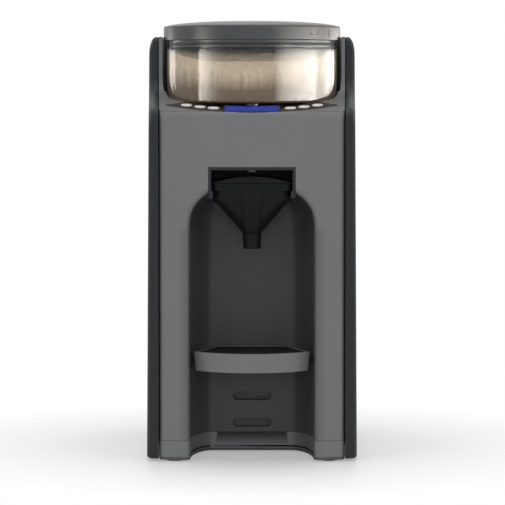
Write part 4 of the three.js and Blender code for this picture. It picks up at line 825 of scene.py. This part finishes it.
powder = {
    "front": 361.3, "slope": 11.6, "slopeShare": 0.9, "mound": 6, "moundShare": 0.3, "gap": 0.05,
    "crumb": 1.5, "crumbSize": 6, "crumbKind": (0.7, 2.1, 6), "dune": 1.4, "duneSize": 20, "wallCrumb": 0.5,
    "sides": 220, "rings": 60, "low": 323.6, "rooms": ((72.6, 341.6), (12.6, 348.5)),
}
heapReach = insideRadius - powder["gap"]


def eased(share):
    share = max(0, min(1, share))
    return share * share * (3 - 2 * share)


def powderTop(x, d):  # low in front, rising to the back, uneven and crumbly
    slope = powder["slope"] * eased((d + heapReach) / (powder["slopeShare"] * heapReach))
    inwards = eased((1 - math.hypot(x, d) / heapReach) / powder["moundShare"])
    mound = powder["mound"] * inwards * (1 - slope / powder["slope"])
    spot = Vector((x, d, 0))
    crumbs = noise.fractal(spot / powder["crumbSize"], *powder["crumbKind"]) * powder["crumb"]
    dunes = noise.noise(spot / powder["duneSize"]) * powder["dune"]
    loose = powder["wallCrumb"] + (1 - powder["wallCrumb"]) * inwards
    return powder["front"] + (slope + mound + (crumbs + dunes) * loose)


heap = turned([
    (0, powder["low"]), *lowerEdge(*edgeAt, insideEdge - powder["gap"]),
    *[(heapReach * (1 - share), powderTop) for share in shares(powder["rings"])],
], powder["sides"], hopper["d"])
rooms = [rod(radius, (powder["low"] - over, top), hopper["d"]) for radius, top in powder["rooms"]]
standFor(cut(heap, *rooms), "formula_powder")

lid = {
    "radius": 82.2, "low": 381.2, "side": 12.2, "chamfer": 0.8, "dome": 5.1, "wall": 2.2, "skirtDepth": 6.7,
    "skirt": 77.3, "skirtWall": 2.3, "domeShare": 0.8, "domeSteps": 18, "soft": (0.5, 25),
    "markRise": 0.25, "markSteps": 6,
    "marks": [  # from and to in degrees round from the front, low and high above the lid's lower edge
        (40.8, 41.3, 4.2, 8.2), (40.8, 47.6, 4.2, 4.8), (47.1, 47.6, 4.2, 8.2), (59.2, 59.8, 2.6, 9.6),
    ],
}


def lidArch(reach, height):
    top = height + lid["dome"]
    return bend((reach, height), (lid["domeShare"] * reach, top), (0, top), lid["domeSteps"])


def lidMark(start, end, low, high):  # a thin raised patch on the lid's side
    start, end = math.radians(start), math.radians(end)
    outline = arcRow(lid["radius"] + lid["markRise"], start, end, lid["markSteps"])
    outline += arcRow(lid["radius"] - lid["markRise"], end, start, lid["markSteps"])
    return extruded(outline, "z", (lid["low"] + low, lid["low"] + high))


crest = lid["low"] + lid["side"] + lid["chamfer"]
inner, skirtLow = lid["skirt"] - lid["skirtWall"], lid["low"] - lid["skirtDepth"]
cap = turned([
    *reversed(lidArch(lid["radius"] - lid["chamfer"], crest)), (lid["radius"], lid["low"] + lid["side"]),
    (lid["radius"], lid["low"]), (lid["skirt"], lid["low"]), (lid["skirt"], skirtLow), (inner, skirtLow),
    *lidArch(inner, crest - lid["wall"]),
], hopper["sides"], hopper["d"])
standFor(cap, "hopper_lid", *lid["soft"])
lidMarks = join(*[lidMark(*ends) for ends in lid["marks"]])
soften(lidMarks, 0, shaping["softAngle"])
lidMarks.name = "lidMarks"
dress(lidMarks, mouldedPlastic("paleMark", (0.3, 0.3, 0.31)))
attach(lidMarks, bodyOf["hopper_lid"])
print("hopper made")

# Control panel, window and buttons on the ledge

panelLow = panel["rise"] - panel["thickness"]


def windowOutline(grow):  # curved ends, straight sides
    radii, half = (panel["windowInner"] - grow, panel["windowOuter"] + grow), panel["windowHalfWidth"] + grow
    innerAngle, outerAngle = [math.asin(half / radius) for radius in radii]
    return sector(*radii, outerAngle, panel["steps"] // 2, innerAngle)


plateOutline = sector(hopper["bore"] + gap, panel["outer"], panel["halfAngle"], panel["steps"])
plate = cut(
    overLedge(plateOutline, panelLow, panel["rise"]),
    overLedge(windowOutline(gap), panelLow - over, panel["rise"] + over),
    *[buttonHole(angle) for angle in buttonAngles],
)
standFor(plate, "control_panel", panel["soft"])
window = overLedge(windowOutline(0), panelLow, panel["rise"], panel["windowTilt"])
standFor(window, "display_window", panel["windowSoft"])

names = [hand + spot for hand in ("left_", "right_") for spot in ("inner", "middle", "outer")]
for name, angle in zip(names, buttonAngles):
    shoulder = button["rise"] - button["crown"]
    rings = [ovalRing(angle, 0, -button["skirt"])]
    for inward, rise in bowEdge(button["rimSteps"]):
        rings.append(ovalRing(angle, button["rim"] * inward, shoulder - button["rim"] * (1 - rise)))
    for share in button["crownShares"]:
        height = button["rise"] - button["crown"] * share ** 2
        rings.append(ovalRing(angle, button["rim"], height, share))
    standFor(loft(rings), "button_" + name)
print("panel made")

# The funnel, its cover and the frame that it slides in

funnel = {
    "frontD": 5, "backD": 76, "flangeLow": 244.7, "flangeTop": 251, "flangeCorner": 6, "bodyCorner": 9,
    "shoulder": 236.8, "wall": 1.8, "outletD": 35, "clearance": 0.4, "soft": (0.5, 28),
    "waist": (212.9, 14.8), "neck": (205.4, 8.5), "tip": (191.3, 8),  # height and radius
    "ribHalfWidth": 9.4, "ribRise": 1.2, "ribCorner": 1.2, "ribShares": (0.75, 0.5),
}
middle, halfD = [(funnel["backD"] + sign * funnel["frontD"]) / 2 for sign in (1, -1)]
flangeX = slotBox["halfWidth"] - slotBox["wall"] - funnel["clearance"]
bodyX, bodyD = flangeX - slotBox["railWidth"], halfD - slotBox["railWidth"]


def funnelRings(inset, top, low):
    body = (bodyX - inset, bodyD - inset, funnel["bodyCorner"], middle)
    rings = [roundedRing(*body, z) for z in (top, funnel["shoulder"])]
    for z, radius in (funnel["waist"], funnel["neck"], (low, funnel["tip"][1])):
        rings.append(roundedRing(radius - inset, radius - inset, radius, funnel["outletD"], z))
    return rings


def ribRing(share, halfDepth, d, z):
    return roundedRing(funnel["ribHalfWidth"] * share, halfDepth + funnel["ribRise"], funnel["ribCorner"], d, z)


flangeLow, flangeTop, tip = funnel["flangeLow"], funnel["flangeTop"], funnel["tip"][0]
flange = roundedBox(flangeX, halfD, funnel["flangeCorner"], middle, (flangeLow, flangeTop))
rib = loft([
    ribRing(1, bodyD, middle, flangeLow + gap), ribRing(1, bodyD, middle, funnel["shoulder"]),
    *[ribRing(share, radius, funnel["outletD"], z)
      for share, (z, radius) in zip(funnel["ribShares"], (funnel["waist"], funnel["neck"]))],
])
cone = join(loft(funnelRings(0, flangeLow + gap, tip)), flange, rib)
cone = cut(cone, loft(funnelRings(funnel["wall"], flangeTop + over, tip - over)))
standFor(cone, "mixing_funnel", *funnel["soft"], funnelBlack)

cover = {
    "rise": 6.2, "wall": 1.6, "inset": 1.6, "mouthHalfWidth": 11, "mouthFront": 28, "mouthBack": 73,
    "mouthSteps": 14, "archSteps": 28, "soft": 0.5,
}
coverLow, coverX = flangeTop + gap, flangeX - cover["inset"]


def coverArch(grow, foot, ds):
    reach, lift = coverX + grow, coverLow + cover["wall"] / 2
    top = coverLow + 2 * cover["rise"] - cover["wall"] / 2
    curve = bend((reach, lift), (0, top), (-reach, lift), cover["archSteps"])
    return extruded([(reach, foot), *[(x, z + grow) for x, z in curve], (-reach, foot)], "d", ds)


mouthD, mouthReach = [(cover["mouthBack"] + sign * cover["mouthFront"]) / 2 for sign in (1, -1)]
mouthX, mouthZs = cover["mouthHalfWidth"], (coverLow - over, coverLow + cover["rise"] + over)
mouth = roundedBox(mouthX, mouthReach, mouthX, mouthD, mouthZs, cover["mouthSteps"])
ends = (funnel["frontD"] + cover["inset"], funnel["backD"] - cover["inset"])
underHood = coverArch(-cover["wall"], coverLow - over, (ends[0] + cover["wall"], ends[1] - cover["wall"]))
hood = cut(coverArch(0, coverLow, ends), underHood, mouth)
standFor(hood, "funnel_cover", cover["soft"], finish=funnelBlack)

halfX, low, high, railTop = [slotBox[key] for key in ("halfWidth", "bottom", "top", "railTop")]
innerX, roof = halfX - slotBox["wall"], high - slotBox["wall"]
within, railX = (-over, slotBox["depth"] - slotBox["wall"]), innerX - slotBox["railWidth"]
facedFront = planBlock(0, 0, housing["split"], (low - over, high + over))
slotFrame = carve(block((-halfX, halfX), (-over, slotBox["depth"]), (low, high)), "INTERSECT", [facedFront])
slotFrame = cut(
    slotFrame, block((-innerX, innerX), within, (railTop, roof)),
    block((-railX, railX), within, (low - over, railTop + over)),
    *[rod(radius, (roof - over, high + over), d) for d, radius in (slotBox["chute"], slotBox["nozzle"])],
)
standFor(slotFrame, "funnel_slot_frame", slotBox["soft"])
print("funnel made")

# The shelf, hung in the slots by its tongue, and its mat

shelf = {
    "noseD": -12, "cornerD": 15, "halfWidth": 52.4, "rearHalfWidth": 34, "rearD": 76.5, "bottom": 81.7,
    "thickness": 17.2, "draft": 2.1, "plate": 4, "wall": 2.4, "matDepth": 1.6, "matInset": 4,
    "hookHalfWidth": 17.3, "tongue": 7, "steps": 44, "soft": 0.7, "matSoft": 0.3,
}


def shelfRing(inset, z):
    sagitta = shelf["cornerD"] - shelf["noseD"]
    radius = (shelf["halfWidth"] ** 2 + sagitta ** 2) / (2 * sagitta)
    angle = math.asin(shelf["halfWidth"] / radius)
    turns = [angle * (2 * i / shelf["steps"] - 1) for i in range(shelf["steps"] + 1)]
    arc = [onArc(radius - inset, turn, 0, shelf["noseD"] + radius) for turn in turns]
    rearX, rearD = shelf["rearHalfWidth"] - inset, shelf["rearD"] - inset
    return [(x, d, z) for x, d in ((-rearX, rearD), *arc, (rearX, rearD))]


def shelfBlock(*ends):  # pairs of inset and height
    return loft([shelfRing(*end) for end in ends])


low, draft, wall = shelf["bottom"], shelf["draft"], shelf["wall"]
topZ, matInset = low + shelf["thickness"], shelf["matInset"]
matLow = topZ - shelf["matDepth"]
tray = shelfBlock((draft, low), (0, topZ))
hollow = shelfBlock((draft + wall, low - over), (wall, topZ - shelf["plate"]))
recess = shelfBlock((matInset, matLow - gap), (matInset, topZ + over))
slotLow = shelfSlot["lowest"] + (shelfSlot["count"] - 1) * shelfSlot["pitch"]
tongueLow, tongueTop = slotLow + 2 * gap, slotLow + shelfSlot["height"] - 2 * gap
hookX, skinD = shelf["hookHalfWidth"], shelf["rearD"] - wall
hook = block((-hookX, hookX), (skinD - draft, shelf["rearD"]), (tongueLow, low + shelf["plate"]))
tongueTall = (tongueTop - tongueLow) / 2
tongueOutline = roundedRing(hookX, tongueTall, shelfSlot["corner"], tongueLow + tongueTall, 0)
tongue = extruded(tongueOutline, "d", (skinD, bay["depth"] + shelf["tongue"]))
tray = join(cut(tray, hollow, recess), hook, tongue)
standFor(tray, "bottle_shelf", shelf["soft"], finish=plainSlate)
mat = shelfBlock((matInset + gap, matLow), (matInset + gap, topZ - gap))
standFor(mat, "shelf_mat", shelf["matSoft"])
print("shelf made")

# The water tank and its hinged lid

tank = {
    "halfWidth": 80.9, "front": 197, "depth": 82, "low": 118.3, "top": 376, "corner": 14, "wall": 2.2,
    "outletD": 235, "neckRadius": 9, "neckWall": 2, "neckLength": 6.4, "earIn": 69.7, "earWidth": 6,
    "earReach": 8, "earDepth": 6, "barrel": 3.4, "pin": 1.8, "axisD": 201, "axisZ": 379.9, "lidHeight": 7.2,
    "lidWall": 2, "plateFront": 206.6, "soft": (0.6, 40), "cornerSteps": 12, "barSteps": 40,
}


def tankBox(halfWidth, ds, zs, corner):
    reach, centre = (ds[1] - ds[0]) / 2, (ds[0] + ds[1]) / 2
    return roundedBox(halfWidth, reach, corner, centre, zs, tank["cornerSteps"])


def bar(radius, reach):  # a round bar along x on the hinge's axis
    d, z, steps = tank["axisD"], tank["axisZ"], tank["barSteps"]
    turns = [2 * math.pi * i / steps for i in range(steps)]
    outline = [(d + radius * math.cos(turn), z + radius * math.sin(turn)) for turn in turns]
    return extruded(outline, "x", (-reach, reach))


half, front, back, wall = tank["halfWidth"], tank["front"], tank["front"] + tank["depth"], tank["wall"]
low, top, corner, outletD = [tank[key] for key in ("low", "top", "corner", "outletD")]
vessel = tankBox(half, (front, back), (low, top), corner)
room = tankBox(half - wall, (front + wall, back - wall), (low + wall, top + over), corner - wall)
earIn, earOut = tank["earIn"], tank["earIn"] + tank["earWidth"]
earZs = (top - tank["earDepth"], tank["axisZ"] + tank["barrel"])
ears = [block(xs, (front, front + tank["earReach"]), earZs) for xs in ((-earOut, -earIn), (earIn, earOut))]
neckLow, neckTop = low - tank["neckLength"], low + wall
vessel = join(cut(vessel, room), rod(tank["neckRadius"], (neckLow, neckTop), outletD), *ears)
neckBore = rod(tank["neckRadius"] - tank["neckWall"], (neckLow - over, neckTop + over), outletD)
standFor(cut(vessel, neckBore, bar(tank["pin"], half + over)), "water_tank", *tank["soft"])

flapLow, flapTop, knuckle = top + gap, top + gap + tank["lidHeight"], earIn - gap
plateFront, plateWall = tank["plateFront"], tank["lidWall"]
flap = tankBox(half, (plateFront, back), (flapLow, flapTop), corner / 2)
bridge = block((-knuckle, knuckle), (tank["axisD"], plateFront + corner / 2), (flapLow, flapTop))
underDs, underZs = (plateFront + plateWall, back - plateWall), (flapLow - over, flapTop - plateWall)
under = tankBox(half - plateWall, underDs, underZs, corner / 2)
flap = cut(join(flap, bridge, bar(tank["barrel"], knuckle)), under, bar(tank["pin"], half + over))
standFor(flap, "tank_lid", *tank["soft"])
print("tank made")

# What is left keeps its solid and gets its finish, with its sharp edges rounded

dressing = {"width": 0.0006, "share": 0.08, "segments": 2, "angle": 34}
finishOf = {**slotOf, "lid_seal": "black_rubber"}  # painted shade: the seal is dressed dark in place of its own finish, as it lies in shadow behind the clear bowl
replaced = {node for piece in bpy.data.objects for node in piece.get("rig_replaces", [])}
for node, solid in frame["nodes"].items():
    if node not in replaced:
        dress(solid, materials[finishOf[node]])
        shadeSmooth(solid.data)
        smallest = min(high - low for low, high in zip(*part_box(node)))
        width = min(dressing["width"], smallest * dressing["share"])
        roundEdges(solid, width, dressing["segments"], dressing["angle"])
print("solids dressed")

# Floor, backdrop and soft studio light

studio = {
    "floorShade": 0.9, "floorMottle": 0.01, "floorGlow": 0.36, "floorGloss": 0.5, "floorRough": 0.42,
    "glowFrom": 0.15, "glowTo": 0.37, "worldLight": 0.5,
    "front": -3.4, "behind": 3.3, "curve": 0.6, "curveSteps": 12, "rise": 2.2, "halfWidth": 3,
    "lamps": [  # name, where it stands, what it looks at, width, height, watts, seen in gloss
        ("key", (-1.1, -1.7, 1.25), (0, 0, 0.2), 0.9, 0.9, 3.6, False),
        ("fill", (1.3, -1.6, 0.9), (0, 0, 0.2), 0.9, 1.1, 3, False),
        ("front", (0, -2.4, 0.5), (0, 0, 0.2), 0.9, 0.6, 9.5, False),
        ("top", (0, -0.1, 1.5), (0, 0, 0.2), 1.2, 0.9, 7, True),
    ],
    "boxReach": 1.2, "boxZs": (0.1, 0.389), "boxTint": (1, 0.94, 0.87),
    "boxes": [  # from and to in degrees round from the front, strips, brightness, how steeply it fades
        (-136, -124, 1, 6, 0), (-34, -73, 12, 17.5, 2), (30, 93, 16, 27.5, 0.6), (93, 152, 2, 12, 0),
    ],
    "boxesReach": ("HopperBowlForm", "HopperLidForm"),
}


def hang(name, lamp, stands, looks):
    holder = addObject(name, lamp)
    holder.location = stands
    holder.rotation_euler = (Vector(looks) - Vector(stands)).to_track_quat("-Z", "Y").to_euler()
    holder.visible_camera = False
    return holder


def areaLamp(name, width, height, watts):
    lamp = bpy.data.lights.new(name, "AREA")
    lamp.shape, lamp.size, lamp.size_y, lamp.energy = "RECTANGLE", width, height, watts
    return lamp


for name, stands, looks, width, height, watts, glossy in studio["lamps"]:
    hang(name, areaLamp(name, width, height, watts), stands, looks).visible_glossy = glossy

gleaming = bpy.data.collections.new("gleaming")
for name in studio["boxesReach"]:
    gleaming.objects.link(bpy.data.objects[name])
boxLow, boxTop = studio["boxZs"]
centre = Vector((0, faceY + hopper["d"] / 1000, (boxLow + boxTop) / 2))
for start, end, strips, bright, steepness in studio["boxes"]:  # softboxes that the hopper alone reflects
    halfTurn = math.radians(abs(end - start) / strips / 2)
    width, height = 2 * studio["boxReach"] * math.tan(halfTurn), boxTop - boxLow
    for i in range(strips):
        share = (i + 0.5) / strips
        turn = math.radians(start + (end - start) * share)
        lamp = areaLamp("softbox", width, height, bright * share ** steepness * math.pi * width * height)
        lamp.color = studio["boxTint"]
        away = Vector((*onArc(1, turn), 0)) * studio["boxReach"]
        holder = hang("softbox", lamp, centre + away, centre)
        holder.visible_diffuse = False
        holder.light_linking.receiver_collection = gleaming

world = bpy.data.worlds.new("studio")
bpy.context.scene.world = world
sky = Finish("studio", world)
seen = (sky.rays("Is Camera Ray") + sky.rays("Is Glossy Ray") + sky.rays("Is Transmission Ray")).clipped()
white, soft = [
    sky.node("ShaderNodeBackground", inputs={"Color": (1, 1, 1, 1), "Strength": strength})
    for strength in (1.0, studio["worldLight"])
]
sky.finished(sky.blend(seen, soft, white), "World")

pale = Finish("paleFloor")
mottle = [(studio["floorShade"] + sign * studio["floorMottle"],) * 3 for sign in (-1, 1)]
diffuse = pale.node("ShaderNodeBsdfDiffuse", inputs={"Color": pale.mix(pale.noise(3, 2), *mottle)})
glossy = {"Color": (1, 1, 1, 1), "Roughness": studio["floorRough"]}
surface = pale.blend(studio["floorGloss"], diffuse, pale.node("ShaderNodeBsdfAnisotropic", inputs=glossy))
bright = pale.node("ShaderNodeEmission", inputs={"Color": (1, 1, 1, 1), "Strength": 1.0})
across, back, _ = pale.axes()
away = ((across * across + back * back) ** 0.5).between(studio["glowFrom"], studio["glowTo"])
glow = away * (1 - studio["floorGlow"]) + studio["floorGlow"]  # the floor turns white away from the object

ground = bpy.data.meshes.new("floor")
curve, foot, half = studio["curve"], studio["behind"] - studio["curve"], studio["halfWidth"]
bow = [onArc(curve, share * quarter, foot, curve) for share in shares(studio["curveSteps"])]
profile = [(studio["front"], 0), *bow, (studio["behind"], studio["rise"])]
strips = [(2 * i, 2 * i + 1, 2 * i + 3, 2 * i + 2) for i in range(len(profile) - 1)]
ground.from_pydata([(x, y, z) for y, z in profile for x in (-half, half)], [], strips)
shadeSmooth(ground)
floor = addObject("floor", ground)
ground.materials.append(pale.finished(pale.blend(pale.rays("Is Camera Ray") * glow, surface, bright)))
print("studio made")
